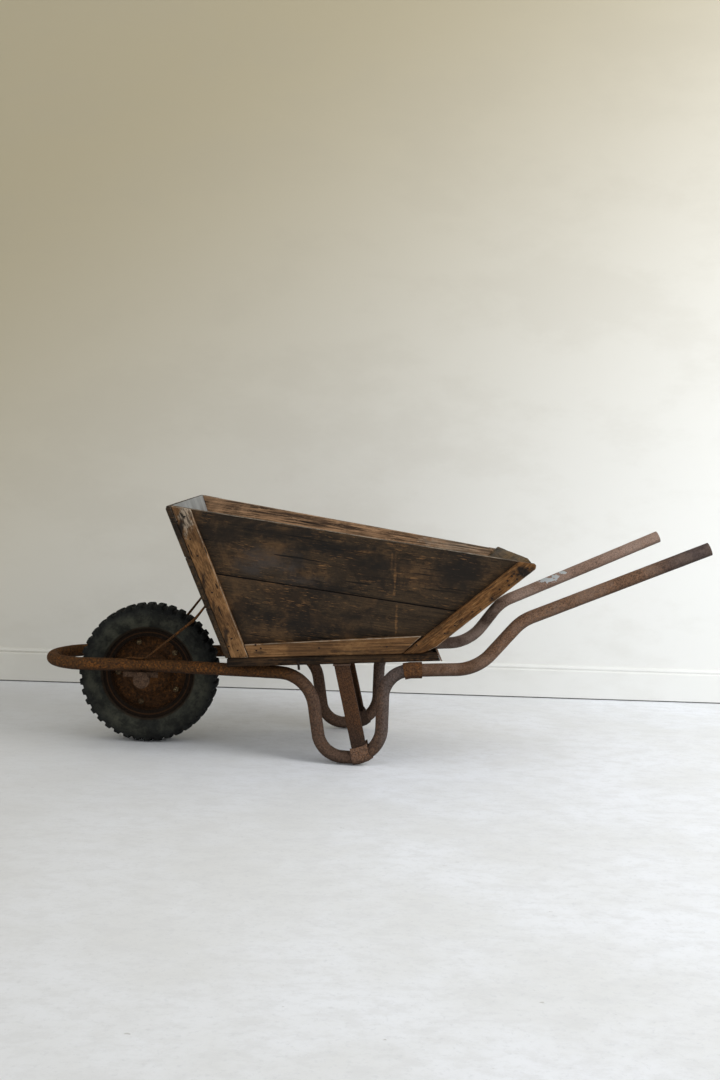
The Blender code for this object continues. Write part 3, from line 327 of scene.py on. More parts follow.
def rusty_iron(node, name, rounding, step=None, along=None, depth=0.0005, scale=90, seed=0.0):
    """A piece of iron with rust-rounded edges and an uneven skin."""
    obj = from_node(node, name)
    edit(obj, "EDGE", False)
    bpy.ops.mesh.edges_select_sharp(sharpness=math.radians(28))
    bpy.ops.mesh.bevel(offset=rounding, segments=2, profile=0.6, affect="EDGES", clamp_overlap=True)
    leave()
    if step:
        cut_rows(obj, along, step)
    rust_away(obj, depth, scale, seed)
    mark_underside_shade(obj)
    smooth(obj)
    return obj


def turned(name, profile, steps, centre, start=0.0):
    """Spin a closed outline of (radius, y) points about the axle's direction."""
    obj = added(bpy.ops.mesh.primitive_circle_add, name, vertices=len(profile), radius=0.01,
                fill_type="NOTHING", location=(0, 0, 0))
    away = Vector((math.cos(start), 0.0, math.sin(start)))
    for vert, (radius, y) in zip(obj.data.vertices, profile):
        vert.co = centre + away * radius + Vector((0.0, y, 0.0))
    edit(obj, "EDGE")
    bpy.ops.mesh.spin(steps=steps, angle=2 * math.pi, center=centre, axis=(0, 1, 0))
    bpy.ops.mesh.select_all(action="SELECT")
    bpy.ops.mesh.remove_doubles(threshold=0.00002)
    bpy.ops.mesh.normals_make_consistent(inside=False)
    leave()
    return obj


def bent_tube(name, corners, radii):
    """Draw a tube out of a ring: extrude the straight runs and spin the bends."""
    sides = 28
    run = 0.018
    turn_step = math.radians(5)
    first = (corners[1] - corners[0]).normalized()
    obj = added(bpy.ops.mesh.primitive_circle_add, name, vertices=sides,
                radius=sizes().tube_diameter / 2, fill_type="NOTHING", location=corners[0],
                rotation=first.to_track_quat("Z", "Y").to_euler())
    settle(obj)
    edit(obj, "EDGE")
    here = corners[0].copy()

    def draw_to(target):
        nonlocal here
        reach = target - here
        if reach.length < 0.0002:
            here = target.copy()
            return
        count = max(1, round(reach.length / run))
        for _ in range(count):
            bpy.ops.mesh.extrude_region_move(
                TRANSFORM_OT_translate={"value": tuple(reach / count)})
        here = target.copy()

    for before, corner, after, bend in zip(corners, corners[1:], corners[2:], radii):
        into = (corner - before).normalized()
        out = (after - corner).normalized()
        turn = into.angle(out)
        draw_to(corner - into * (bend * math.tan(turn / 2)))
        centre = corner + (out - into).normalized() * (bend / math.cos(turn / 2))
        axis = into.cross(out).normalized()
        steps = max(2, math.ceil(turn / turn_step))
        bpy.ops.mesh.spin(steps=steps, angle=-turn, center=centre, axis=axis)
        here = corner + out * (bend * math.tan(turn / 2))
    draw_to(corners[-1])
    leave()
    return obj


def hollow_out(obj):
    face_out(obj)
    mark_underside_shade(obj)
    apply_modifier(obj, "SOLIDIFY", thickness=sizes().tube_wall, offset=-1.0, use_rim=True)
    face_out(obj)
    smooth(obj)


# Finishes

def shade(paint, share):
    """The same colour, darker or brighter."""
    return tuple(part * share for part in paint)


def tint(paint, shares):
    """A colour with each part changed by its own share."""
    return tuple(part * share for part, share in zip(paint, shares))


class Finish:
    """A material built from nodes, with short words for the ones used most."""

    def __init__(self, name, roughness, metallic=0.0):
        self.material = bpy.data.materials.new(name)
        self.material.use_nodes = True
        self.tree = self.material.node_tree
        self.shader = self.tree.nodes["Principled BSDF"]
        self.shader.inputs["Roughness"].default_value = roughness
        self.shader.inputs["Metallic"].default_value = metallic
        self.shader.inputs["Specular IOR Level"].default_value = 0.14
        self.place = self.tree.nodes.new("ShaderNodeTexCoord").outputs["Object"]
        self.paint = (0.0, 0.0, 0.0)

    def put(self, socket, value):
        """Feed a socket from another one, or with a colour or a number."""
        if isinstance(value, bpy.types.NodeSocket):
            self.tree.links.new(value, socket)
        elif socket.type == "RGBA":
            socket.default_value = (*value, 1.0)
        else:
            socket.default_value = value

    def node(self, kind, inputs, **settings):
        """Make a node, feed its inputs and hand back its outputs."""
        made = self.tree.nodes.new("ShaderNode" + kind)
        for key, value in settings.items():
            setattr(made, key, value)
        for key, value in inputs.items():
            self.put(made.inputs[key], value)
        return made.outputs

    def mapped(self, vector, move=(0, 0, 0), turn=(0, 0, 0), scale=(1, 1, 1)):
        return self.node("Mapping", {"Vector": vector, "Location": move, "Rotation": turn,
                                     "Scale": scale})["Vector"]

    def cloud(self, vector, scale, detail, rough=0.55, warp=0.0):
        return self.node("TexNoise", {"Vector": vector, "Scale": scale, "Detail": detail,
                                      "Roughness": rough, "Distortion": warp})["Fac"]

    def cells(self, vector, scale):
        return self.node("TexVoronoi", {"Vector": vector, "Scale": scale})["Distance"]

    def streaks(self, along, move, slant, thick, thin, detail, warp):
        """Short strokes at a slant to the grain."""
        lie = self.mapped(along, move, (0, slant, 0), (thick, thick, thin))
        return self.cloud(lie, 1.0, detail, 0.6, warp)

    def band(self, value, low, high, to_low=0.0, to_high=1.0):
        """Smooth step from one level to another."""
        return self.node("MapRange", {"Value": value, "From Min": low, "From Max": high,
                                      "To Min": to_low, "To Max": to_high},
                         interpolation_type="SMOOTHSTEP")["Result"]

    def maths(self, operation, *values):
        return self.node("Math", dict(enumerate(values)), operation=operation)["Value"]

    def plus(self, first, second):
        return self.maths("ADD", first, second)

    def minus(self, first, second):
        return self.maths("SUBTRACT", first, second)

    def times(self, first, second):
        return self.maths("MULTIPLY", first, second)

    def reach(self, vector):
        return self.node("VectorMath", {0: vector}, operation="LENGTH")["Value"]

    def mix(self, share, first, second, blend="MIX"):
        return self.node("Mix", {"Factor": share, 6: first, 7: second},
                         data_type="RGBA", blend_type=blend)[2]

    def lay(self, over, share, blend="MIX"):
        """Lay a colour over the paint so far."""
        self.paint = self.mix(share, self.paint, over, blend)

    def coat(self, over, source, low, high, share, blend="MIX"):
        """Lay a colour over the paint, more and more as the source goes from low to high."""
        self.lay(over, self.band(source, low, high, 0.0, share), blend)

    def level(self, name):
        return self.node("Attribute", {}, attribute_name=name)["Fac"]

    def axis(self, name):
        return self.node("SeparateXYZ", {"Vector": self.place})[name]

    def from_axle(self):
        """Distance from the wheel's axle."""
        centred = self.mapped(self.place, move=tuple(-a for a in AXLE))
        return self.reach(self.mapped(centred, scale=(1, 0, 1)))

    def spot(self, centre, radii, soft, ragged, scale):
        """A soft patch about a point, with a ragged edge."""
        near = self.mapped(self.place, move=tuple(-c / r for c, r in zip(centre, radii)),
                           scale=tuple(1 / r for r in radii))
        fray = self.times(self.minus(self.cloud(self.place, scale, 5), 0.5), ragged * 3)
        return self.band(self.plus(self.reach(near), fray), 1.0, 1.0 - soft)

    def rough(self, value):
        self.put(self.shader.inputs["Roughness"], value)

    def bump(self, height, strength, distance):
        bumpy = self.node("Bump", {"Strength": strength, "Distance": distance, "Height": height})
        self.put(self.shader.inputs["Normal"], bumpy["Normal"])

    def done(self):
        self.put(self.shader.inputs["Base Color"], self.paint)
        return self.material


FINISHES = {}


def rust_finish(name, main, bloom, deep, grit, pit_depth, bloom_share, paint_spots=(),
                gloss=0.0, metallic=0.0, sheen=None, calm=(), ringed=False):
    """Layered rust: dark hollows, brown skin, orange bloom, specks of old grey paint and painted shade
    on the undersides.
    """
    if name in FINISHES:
        return FINISHES[name]
    f = Finish(name, 0.9, metallic)
    broad = f.cloud(f.place, 11, 4, 0.6)
    middle = f.cloud(f.place, grit * 0.65, 6, 0.7)
    fine = f.cloud(f.place, grit, 4, 0.7)
    pits = f.cells(f.place, grit * 0.9)
    blooming = f.cloud(f.mapped(f.place, move=(4, 2, 7)), grit * 0.6, 5, 0.7)
    f.paint = f.mix(f.band(middle, 0.30, 0.62), deep, main)
    f.lay(bloom, f.times(f.band(blooming, 0.48, 0.68),
                         f.band(broad, 0.36, 0.64, bloom_share * 0.45, bloom_share * 1.5)))
    for axis, start, end, share, skin in calm:
        smoother = f.mix(f.band(middle, 0.36, 0.62), shade(skin, 0.55), skin)
        f.coat(smoother, f.axis(axis), start, end, share)
    if ringed:
        radius = f.from_axle()
        f.coat(shade(deep, 0.5), radius, 0.0975, 0.1020, 0.94)
        f.lay(main, f.times(f.band(radius, 0.1085, 0.1100, 0.0, 0.5),
                            f.band(radius, 0.1135, 0.1120)))
        f.coat(bloom, radius, 0.045, 0.020, 0.5)
    if sheen:
        f.coat(sheen, broad, 0.40, 0.62, 0.40)
    f.coat((1.75, 1.65, 1.55), fine, 0.56, 0.70, 0.8, "MULTIPLY")
    f.coat((0.34, 0.32, 0.32), fine, 0.46, 0.34, 0.9, "MULTIPLY")
    # Painted shade: the rust goes darker on the undersides, the more the surface looks down.
    f.coat(shade(deep, 0.7), f.level("under"), 0.10, 0.95, 0.72)
    height = f.plus(f.times(fine, 0.8), f.times(pits, 0.4))
    height = f.plus(height, f.times(middle, 0.9))
    rough = f.band(middle, 0.3, 0.7, 0.93 - gloss, 0.80 - gloss)
    for centre, radii in paint_spots:
        patch = f.spot(centre, radii, 0.15, 0.95, 120)
        f.lay((0.40, 0.42, 0.42), patch)
        rough = f.maths("MULTIPLY_ADD", patch, -0.3, rough)
    f.rough(rough)
    f.bump(height, 0.9, pit_depth)
    FINISHES[name] = f.done()
    return FINISHES[name]


def wood_finish(name, grain, seed, dark, mid, bare, worn, stain, scratches, contrast=1.0,
                grey_spots=(), black_spots=(), bright_spots=(), glossy_reflection_spots=(),
                gloss=0.0, coarse=1.0, shine=0.14, jointed=False):
    """Old wood: fibres along the grain, stains, scratches to bare wood, worn arrises and glossy patches
    with a painted reflection.
    """
    f = Finish(name, 0.7)
    f.shader.inputs["Specular IOR Level"].default_value = shine
    along = f.mapped(f.place, move=(seed * 3.1, seed * 1.7, -seed * 2.3), turn=grain)
    fibre = f.cloud(f.mapped(along, scale=(7, 190 / coarse, 260 / coarse)), 1.0, 5, 0.65, 0.3)
    rings = f.cloud(f.mapped(along, scale=(2.2, 30, 46)), 1.0, 4, 0.6, 1.0)
    blotch = f.cloud(f.place, 8.5, 7, 0.68, 0.4)
    small = f.cloud(f.mapped(along, scale=(34, 80, 120)), 1.0, 5, 0.7)
    split = f.cloud(f.mapped(along, scale=(2.6, 90, 130)), 1.0, 2, 0.5, 0.25)
    tone = f.plus(f.times(f.minus(fibre, 0.5), 1.15 * contrast),
                  f.times(f.minus(rings, 0.5), 0.75 * contrast))
    pale = tuple(0.62 * m + 0.38 * b for m, b in zip(mid, bare))
    warm = f.cloud(f.mapped(f.place, move=(6, seed, 2)), 6.5, 6, 0.68, 0.6)
    dapple = f.cloud(f.mapped(along, move=(4, 4, 4), scale=(0.55, 1, 1)), 210, 6, 0.75)
    grime = f.cloud(f.mapped(along, move=(9, 2, 5), scale=(14, 30, 44)), 1.0, 6, 0.7, 0.5)
    f.paint = f.mix(f.band(tone, -0.22, 0.20), dark, mid)
    f.coat(pale, tone, 0.10, 0.34, 0.8)
    f.coat(pale, small, 0.58, 0.72, 0.5)
    f.coat(pale, warm, 0.48, 0.68, 0.6)
    f.coat(pale, dapple, 0.56, 0.70, 0.5)
    f.coat(dark, dapple, 0.46, 0.32, 0.6)
    f.lay(shade(dark, 0.8), f.times(f.band(blotch, 0.47, 0.60), stain))
    f.coat(shade(dark, 0.7), grime, 0.55, 0.68, stain * 0.8)
    scrape = f.streaks(along, (2, 5, 1), 0.0, 30, 380, 3, 0.15)
    nick = f.streaks(along, (7, 1, 3), 0.5, 34, 420, 2, 0.1)
    cross = f.streaks(along, (1, 8, 2), -1.1, 30, 460, 2, 0.1)
    busy = f.band(f.cloud(f.mapped(f.place, move=(seed, 3, 1)), 7, 5, 0.65), 0.41, 0.58)
    bared = f.maths("MAXIMUM", f.band(scrape, 0.63, 0.70), f.band(nick, 0.65, 0.72, 0.0, 0.8))
    bared = f.maths("MAXIMUM", bared, f.band(cross, 0.645, 0.72, 0.0, 0.85))
    bared = f.times(f.times(bared, busy), scratches)
    f.lay(bare, bared)
    rough = f.band(blotch, 0.40, 0.66, 0.80 - gloss, 0.56 - gloss)
    # Glossy patches: lower roughness, and a painted reflection laid over them as a dull grey-brown
    # colour.
    for centre, radii, share in glossy_reflection_spots:
        patch = f.times(f.spot(centre, radii, 0.8, 0.5, 24), share)
        f.lay((0.054, 0.045, 0.040), f.times(patch, f.band(grime, 0.40, 0.60, 0.25, 1.0)))
        rough = f.maths("MULTIPLY_ADD", patch, -0.16, rough)
    for centre, radii, share in bright_spots:
        patch = f.times(f.spot(centre, radii, 0.7, 0.9, 90), share)
        f.lay(bare, f.times(patch, f.band(fibre, 0.40, 0.58, 0.3, 1.0)))
    for centre, radii, share in grey_spots:
        patch = f.times(f.spot(centre, radii, 0.6, 0.8, 60), share)
        f.lay(f.mix(f.band(fibre, 0.43, 0.58), shade(worn, 0.22), worn), patch)
    for centre, radii, share in black_spots:
        f.lay((0.009, 0.008, 0.007), f.times(f.spot(centre, radii, 0.7, 0.7, 45), share))
    rim = f.plus(f.level("wear"), f.times(f.cloud(f.place, 60, 5, 0.65), 0.9))
    f.coat(f.mix(f.band(fibre, 0.38, 0.62), shade(worn, 0.40), worn), rim, 1.20, 1.50, 0.8)
    if jointed:
        off = f.maths("MULTIPLY_ADD", f.axis("X"), -BOARD_SLOPE, f.minus(f.axis("Z"), joint_z(0.0)))
        off = f.plus(f.maths("ABSOLUTE", off), f.maths("MULTIPLY_ADD", small, 0.003, -0.0015))
        f.coat((0.004, 0.003, 0.003), off, 0.0024, 0.0010, 0.92)
    cracks = f.band(split, 0.345, 0.305)
    f.lay((0.006, 0.005, 0.004), f.times(cracks, 0.85))
    height = f.plus(f.times(fibre, 0.7), f.times(rings, 0.35))
    height = f.minus(height, f.times(cracks, 0.9))
    height = f.minus(height, f.times(bared, 0.25))
    f.rough(rough)
    f.bump(height, 0.8, 0.0012 * coarse)
    return f.done()


def rubber_finish():
    """Black rubber, dusty on its sides and rusty beside the rim."""
    c = colours()
    f = Finish("tyre_rubber", 0.86)
    radius = f.from_axle()
    mottled = f.cloud(f.place, 30, 7, 0.72)
    patchy = f.cloud(f.mapped(f.place, move=(3, 1, 8)), 11, 6, 0.7)
    specks = f.cloud(f.place, 150, 4, 0.7)
    f.paint = f.mix(f.band(mottled, 0.38, 0.64), shade(c.rubber, 0.5), shade(c.rubber, 1.5))
    dusty = f.times(f.band(radius, 0.182, 0.150), f.band(patchy, 0.36, 0.62, 0.12, 0.95))
    f.lay(c.dust, f.times(dusty, f.band(mottled, 0.34, 0.60, 0.30, 1.0)))
    f.coat(shade(c.dust, 1.9), specks, 0.62, 0.74, 0.40)
    f.lay((0.034, 0.020, 0.011), f.times(f.band(radius, 0.1290, 0.1235),
                                         f.band(mottled, 0.35, 0.60, 0.3, 0.9)))
    f.rough(f.band(mottled, 0.3, 0.7, 0.74, 0.92))
    f.bump(f.plus(mottled, f.times(specks, 0.4)), 0.5, 0.0010)
    return f.done()


def zinc_finish():
    """Dull blotchy sheet, darker toward the floor."""
    c = colours()
    f = Finish("dull_zinc_sheet", 0.6, 0.35)
    cloudy = f.cloud(f.place, 14, 6, 0.65)
    rub = f.cloud(f.mapped(f.place, scale=(1, 6, 1)), 60, 5, 0.6)
    f.paint = f.mix(f.band(cloudy, 0.35, 0.65), shade(c.zinc, 0.62), c.zinc)
    f.coat(shade(c.zinc, 1.35), rub, 0.58, 0.72, 0.5)
    f.coat((0.160, 0.170, 0.180), f.axis("Z"), 0.54, 0.34, 0.45)
    f.rough(f.band(cloudy, 0.3, 0.7, 0.50, 0.72))
    f.bump(f.plus(cloudy, f.times(rub, 0.3)), 0.4, 0.0014)
    return f.done()


def coarse_rust():
    """Front loop: coarse and orange at the wheel, smoother and browner at the legs."""
    c = colours()
    return rust_finish("coarse_tube_rust", c.rust_brown, c.rust_orange, c.rust_dark,
                       300, 0.0020, 0.75,
                       calm=(("X", 0.36 - MIDDLE, 0.47 - MIDDLE, 0.72, (0.122, 0.080, 0.060)),
                             ("X", 0.612 - MIDDLE, 0.638 - MIDDLE, 0.60, (0.108, 0.092, 0.087))))


def smooth_rust():
    """Near handle: orange brown, darker toward its end."""
    return rust_finish("near_handle_rust", (0.185, 0.103, 0.062), (0.320, 0.145, 0.058),
                       (0.042, 0.026, 0.018), 380, 0.0011, 0.6, gloss=0.14,
                       sheen=(0.235, 0.165, 0.125),
                       calm=(("X", 1.24 - MIDDLE, 1.38 - MIDDLE, 0.92, (0.055, 0.042, 0.043)),
                             ("X", 0.93 - MIDDLE, 0.84 - MIDDLE, 0.88, (0.112, 0.055, 0.027))))


def painted_rust():
    """Far handle: paler, with specks of old grey paint."""
    spots = [((x - MIDDLE, 0.222, z), (wide, 0.03, high)) for x, z, wide, high in
             ((1.103, 0.450, 0.026, 0.008), (1.128, 0.461, 0.012, 0.005), (1.150, 0.473, 0.012, 0.005))]
    return rust_finish("far_handle_rust", (0.270, 0.172, 0.125), (0.350, 0.185, 0.105),
                       (0.075, 0.052, 0.040), 380, 0.0009, 0.35, spots, gloss=0.14,
                       sheen=(0.340, 0.255, 0.210),
                       calm=(("X", 1.02 - MIDDLE, 0.94 - MIDDLE, 0.92, (0.056, 0.035, 0.026)),))


def brace_rust():
    """Leg braces: even brown, darker at the top and foot."""
    c = colours()
    return rust_finish("brace_rust", (0.082, 0.038, 0.017), c.rust_orange, c.rust_dark,
                       420, 0.0008, 0.30, gloss=0.08,
                       calm=(("Z", 0.15, 0.06, 0.8, (0.040, 0.025, 0.018)),
                             ("Z", 0.22, 0.26, 0.5, (0.045, 0.024, 0.014))))


def collar_rust():
    c = colours()
    return rust_finish("collar_rust", (0.120, 0.055, 0.022), c.rust_orange, c.rust_dark,
                       340, 0.0012, 0.7)


def flaky_rust():
    return rust_finish("flaky_plate_rust", (0.088, 0.052, 0.032), (0.150, 0.082, 0.045),
                       (0.024, 0.014, 0.009), 260, 0.0018, 0.5)


def clip_rust():
    return rust_finish("clip_rust", (0.185, 0.110, 0.072), (0.270, 0.130, 0.060),
                       (0.040, 0.024, 0.016), 340, 0.0012, 0.6)


def wheel_rust():
    """Rim: flaky and dark, with its rings about the axle."""
    return rust_finish("flaky_wheel_rust", colours().wheel_rust, (0.140, 0.055, 0.014),
                       (0.014, 0.008, 0.004), 210, 0.0016, 0.60, ringed=True)


def bolt_rust():
    return rust_finish("worn_bolt_rust", (0.070, 0.042, 0.020), (0.330, 0.250, 0.130),
                       (0.022, 0.014, 0.009), 420, 0.0006, 0.8, gloss=0.30, metallic=0.3)


def nail_rust():
    return rust_finish("nail_head_rust", (0.020, 0.014, 0.011), (0.060, 0.030, 0.016),
                       (0.007, 0.006, 0.005), 520, 0.0004, 0.3, gloss=0.1)


# Where the wood lies

def on_side(x, z, side, proud):
    """A point on a flared side, out from the boards' outer face."""
    return Vector((x - MIDDLE, side * (SIDE_FOOT_Y + SIDE_FLARE * (z - SIDE_FOOT_Z) + proud), z))


def joint_z(x):
    """Height of the joint between a side's two boards."""
    return 0.4836 + BOARD_SLOPE * (x + MIDDLE - 0.2090)


def front_at(z, inward):
    """Place of the front wall's face at a height, and so far inward from it."""
    return FRONT_FOOT_X - FRONT_LEAN * (z - FRONT_FOOT_Z) + inward - MIDDLE


def stains(y, *rows):
    """Centre, half sizes and strength of the stains on a side, each from its own row."""
    return [((x - MIDDLE, y, z), (wide, 0.2, high), share) for x, z, wide, high, share in rows]


def side_tag(side):
    return "left" if side < 0 else "right"


GRAIN_SIDE = (0.0, math.atan(BOARD_SLOPE), 0.0)
GRAIN_CROSS = (0.0, 0.0, -math.pi / 2)
GRAIN_FRONT = (0.0, math.pi / 2 + math.atan(FRONT_LEAN), 0.0)
GRAIN_REAR = (0.0, math.atan(1 / REAR_LEAN), 0.0)
GRAIN_FLOOR = (0.0, math.atan(FLOOR_SLOPE), 0.0)
ALONG_SIDE = Vector((1, 0, BOARD_SLOPE)).normalized()
ALONG_FRONT = Vector((-FRONT_LEAN, 0, 1)).normalized()
ALONG_REAR = Vector((REAR_LEAN, 0, 1)).normalized()
ALONG_FLOOR = Vector((1, 0, FLOOR_SLOPE)).normalized()


def tube_corners(side):
    """Corners and bend radii of one half of the frame, from the nose to the handle's end."""
    def at(x, y, z):
        return Vector((x - MIDDLE, y, z))
    nose_front = 0.2774
    reach = nose_front - sizes().tube_diameter / 2
    corners = [at(-reach, 0.0, 0.2220), at(-reach, 0.1150, 0.2220), at(0.0300, 0.1150, 0.2243),
               at(0.4395, 0.1880, 0.2280), at(0.4737, 0.19175, LEG_FOOT_Z),
               at(LEG_REAR_X, 0.2085, LEG_FOOT_Z), at(LEG_REAR_X, 0.2085, 0.24621),
               at(HANDLE_BEND_X, 0.2194, 0.2598), at(0.9691, 0.2243, 0.3873),
               at(1.4270, 0.2450, 0.5855)]
    if side > 0:
        longer = 0.0237 / (HANDLE_BEND_X - LEG_REAR_X)
        corners[7] = corners[7] + (corners[7] - corners[6]) * longer
        corners[8] = at(0.9729, 0.2243, 0.3799)
    return corners, [0.1150, 0.4000, 0.0950, 0.0670, 0.0800, 0.0720, 0.1200, 0.1150]


class BARROW_OT_tubes(bpy.types.Operator):
    """Draw the bent front loop and the two handles"""
    bl_idname = "barrow.tubes"
    bl_label = "Bent tubes"

    def execute(self, context):
        corners, radii = tube_corners(-1)
        share = (TUBE_JOINT_X - LEG_REAR_X) / (HANDLE_BEND_X - LEG_REAR_X)
        joint = corners[6].lerp(corners[7], share)
        loop = bent_tube("front_loop", corners[:7] + [joint], radii[:6])
        apply_modifier(loop, "MIRROR", use_axis=(False, True, False), use_clip=True,
                       merge_threshold=0.0004)
        face_out(loop)
        rust_away(loop, 0.0007, 120, 3.0)
        hollow_out(loop)
        hand_over(loop, coarse_rust(), "frame", "rust_coarse", "front_loop_tube")
        for side in (-1, 1):
            tag = side_tag(side)
            corners, radii = tube_corners(side)
            path = [Vector((p.x, side * p.y, p.z)) for p in [joint] + corners[7:]]
            grip = bent_tube("handle_" + tag, path, radii[6:])
            face_out(grip)
            rust_away(grip, 0.0004, 90, side * 2.0)
            hollow_out(grip)
            finish = painted_rust() if side > 0 else smooth_rust()
            hand_over(grip, finish, "frame", "rust_smooth", "handle_tube_" + tag)
        return {"FINISHED"}


class BARROW_OT_ironwork(bpy.types.Operator):
    """Make the collars, foot clips, leg braces, cross bars and rear lip"""
    bl_idname = "barrow.ironwork"
    bl_label = "Ironwork"

    def execute(self, context):
        rounding = sizes().iron_rounding
        for side in (-1, 1):
            tag = side_tag(side)
            collar = rusty_iron("collar_" + tag, "sleeve_" + tag, rounding, depth=0.0006, seed=side)
            hand_over(collar, collar_rust(), "frame", "rust_coarse", "collar_" + tag)
            clip = rusty_iron("foot_clip_" + tag, "foot_strap_" + tag, rounding, depth=0.0005,
                              seed=side * 4)
            finish = clip_rust() if side < 0 else brace_rust()
            hand_over(clip, finish, "frame", "rust_coarse", "foot_clip_" + tag)
            brace = rusty_iron("leg_brace_" + tag, "leg_angle_" + tag, rounding * 0.6, 0.02,
                               Vector((-0.22, 0, 1)), 0.0003, 60, side * 7)
            hand_over(brace, brace_rust(), "frame", "rust_smooth", "leg_brace_" + tag)
        bar_end = 0.2125
        over_brace = 0.0066
        for node in ("cross_bar_front", "cross_bar_brace"):
            bar = rusty_iron(node, node + "_iron", rounding, 0.02, ACROSS, 0.0003, 60)
            if node == "cross_bar_brace":
                for vert in bar.data.vertices:
                    if abs(vert.co.y) > bar_end:
                        vert.co.y += math.copysign(over_brace, vert.co.y)
            hand_over(bar, coarse_rust(), "frame", "rust_coarse", node)
        lip = rusty_iron("rear_lip", "floor_lip", rounding, 0.02, ACROSS, 0.0005, 60)
        hand_over(lip, smooth_rust(), "frame", "rust_coarse", "rear_lip")
        return {"FINISHED"}


class BARROW_OT_stays(bpy.types.Operator):
    """Make the two thin stay rods to the front board"""
    bl_idname = "barrow.stays"
    bl_label = "Stay rods"

    def execute(self, context):
        for side in (-1, 1):
            tag = side_tag(side)
            rod = from_node("stay_rod_" + tag, "stay_" + tag)
            apply_modifier(rod, "SUBSURF", levels=2, render_levels=2)
            rust_away(rod, 0.0004, 150, side * 5)
            smooth(rod, 60)
            hand_over(rod, coarse_rust(), "frame", "rust_coarse", "stay_rod_" + tag)
        return {"FINISHED"}


class BARROW_OT_sides(bpy.types.Operator):
    """Make the four worn side boards"""
    bl_idname = "barrow.sides"
    bl_label = "Side boards"

    def execute(self, context):
        c = colours()
        for side in (-1, 1):
            tag = side_tag(side)
            y = side * 0.24
            for part, seed in (("lower", 1.0), ("upper", 2.0)):
                node = "side_board_%s_%s" % (part, tag)
                black, glossy_reflection, bright, grey = [], [], [], []
                rubbed = None
                if part == "upper":
                    def rubbed(co):
                        return 1.0 if co.z > joint_z(co.x) + 0.03 else 0.0
                    black = stains(y, (0.62, 0.53, 0.09, 0.035, 0.60), (0.80, 0.50, 0.07, 0.05, 0.5),
                                   (0.48, 0.56, 0.12, 0.025, 0.7), (0.36, 0.595, 0.14, 0.025, 0.6),
                                   (0.48, 0.455, 0.10, 0.015, 0.6))
                    # Glossy patches on the upper board, with a painted reflection.
                    glossy_reflection = stains(y, (0.33, 0.52, 0.12, 0.05, 0.7), (0.40, 0.475, 0.10, 0.02, 0.5))
                    bright = stains(y, (0.645, 0.49, 0.005, 0.07, 0.6), (0.635, 0.53, 0.003, 0.03, 0.5),
                                    (0.56, 0.552, 0.06, 0.006, 0.4), (0.70, 0.50, 0.06, 0.05, 0.18))
                else:
                    black = stains(y, (0.42, 0.37, 0.16, 0.04, 0.6), (0.30, 0.30, 0.08, 0.04, 0.6),
                                   (0.55, 0.345, 0.10, 0.02, 0.5))
                    bright = stains(y, (0.653, 0.375, 0.004, 0.05, 0.55),
                                    (0.60, 0.33, 0.06, 0.008, 0.25))
                mid, bare, dark = c.wood_mid, c.wood_scratch, c.wood_dark
                scratches, contrast, stain = 0.85, 0.5, 0.75
                if side > 0:
                    mid, bare = (0.320, 0.182, 0.094), (0.580, 0.350, 0.190)
                    dark = (0.052, 0.030, 0.017)
                    scratches, contrast, stain = 1.0, 1.6, 0.40
                    black, glossy_reflection = [], []
                    grey = stains(y, (0.84, 0.50, 0.14, 0.10, 0.40))
                board = worn_plank(node, "%s_plank_%s" % (part, tag), ALONG_SIDE, UP,
                                   sizes().board_rounding, seed + side, rubbed)
                finish = wood_finish("%s_side_board_%s" % (part, tag), GRAIN_SIDE, seed * 2 + side,
                                     dark, mid, bare, c.weathered_grey, stain, scratches,
                                     contrast, grey, black, bright, glossy_reflection, 0.06, jointed=True)
                hand_over(board, finish, "frame", "dark_board", node)
        return {"FINISHED"}


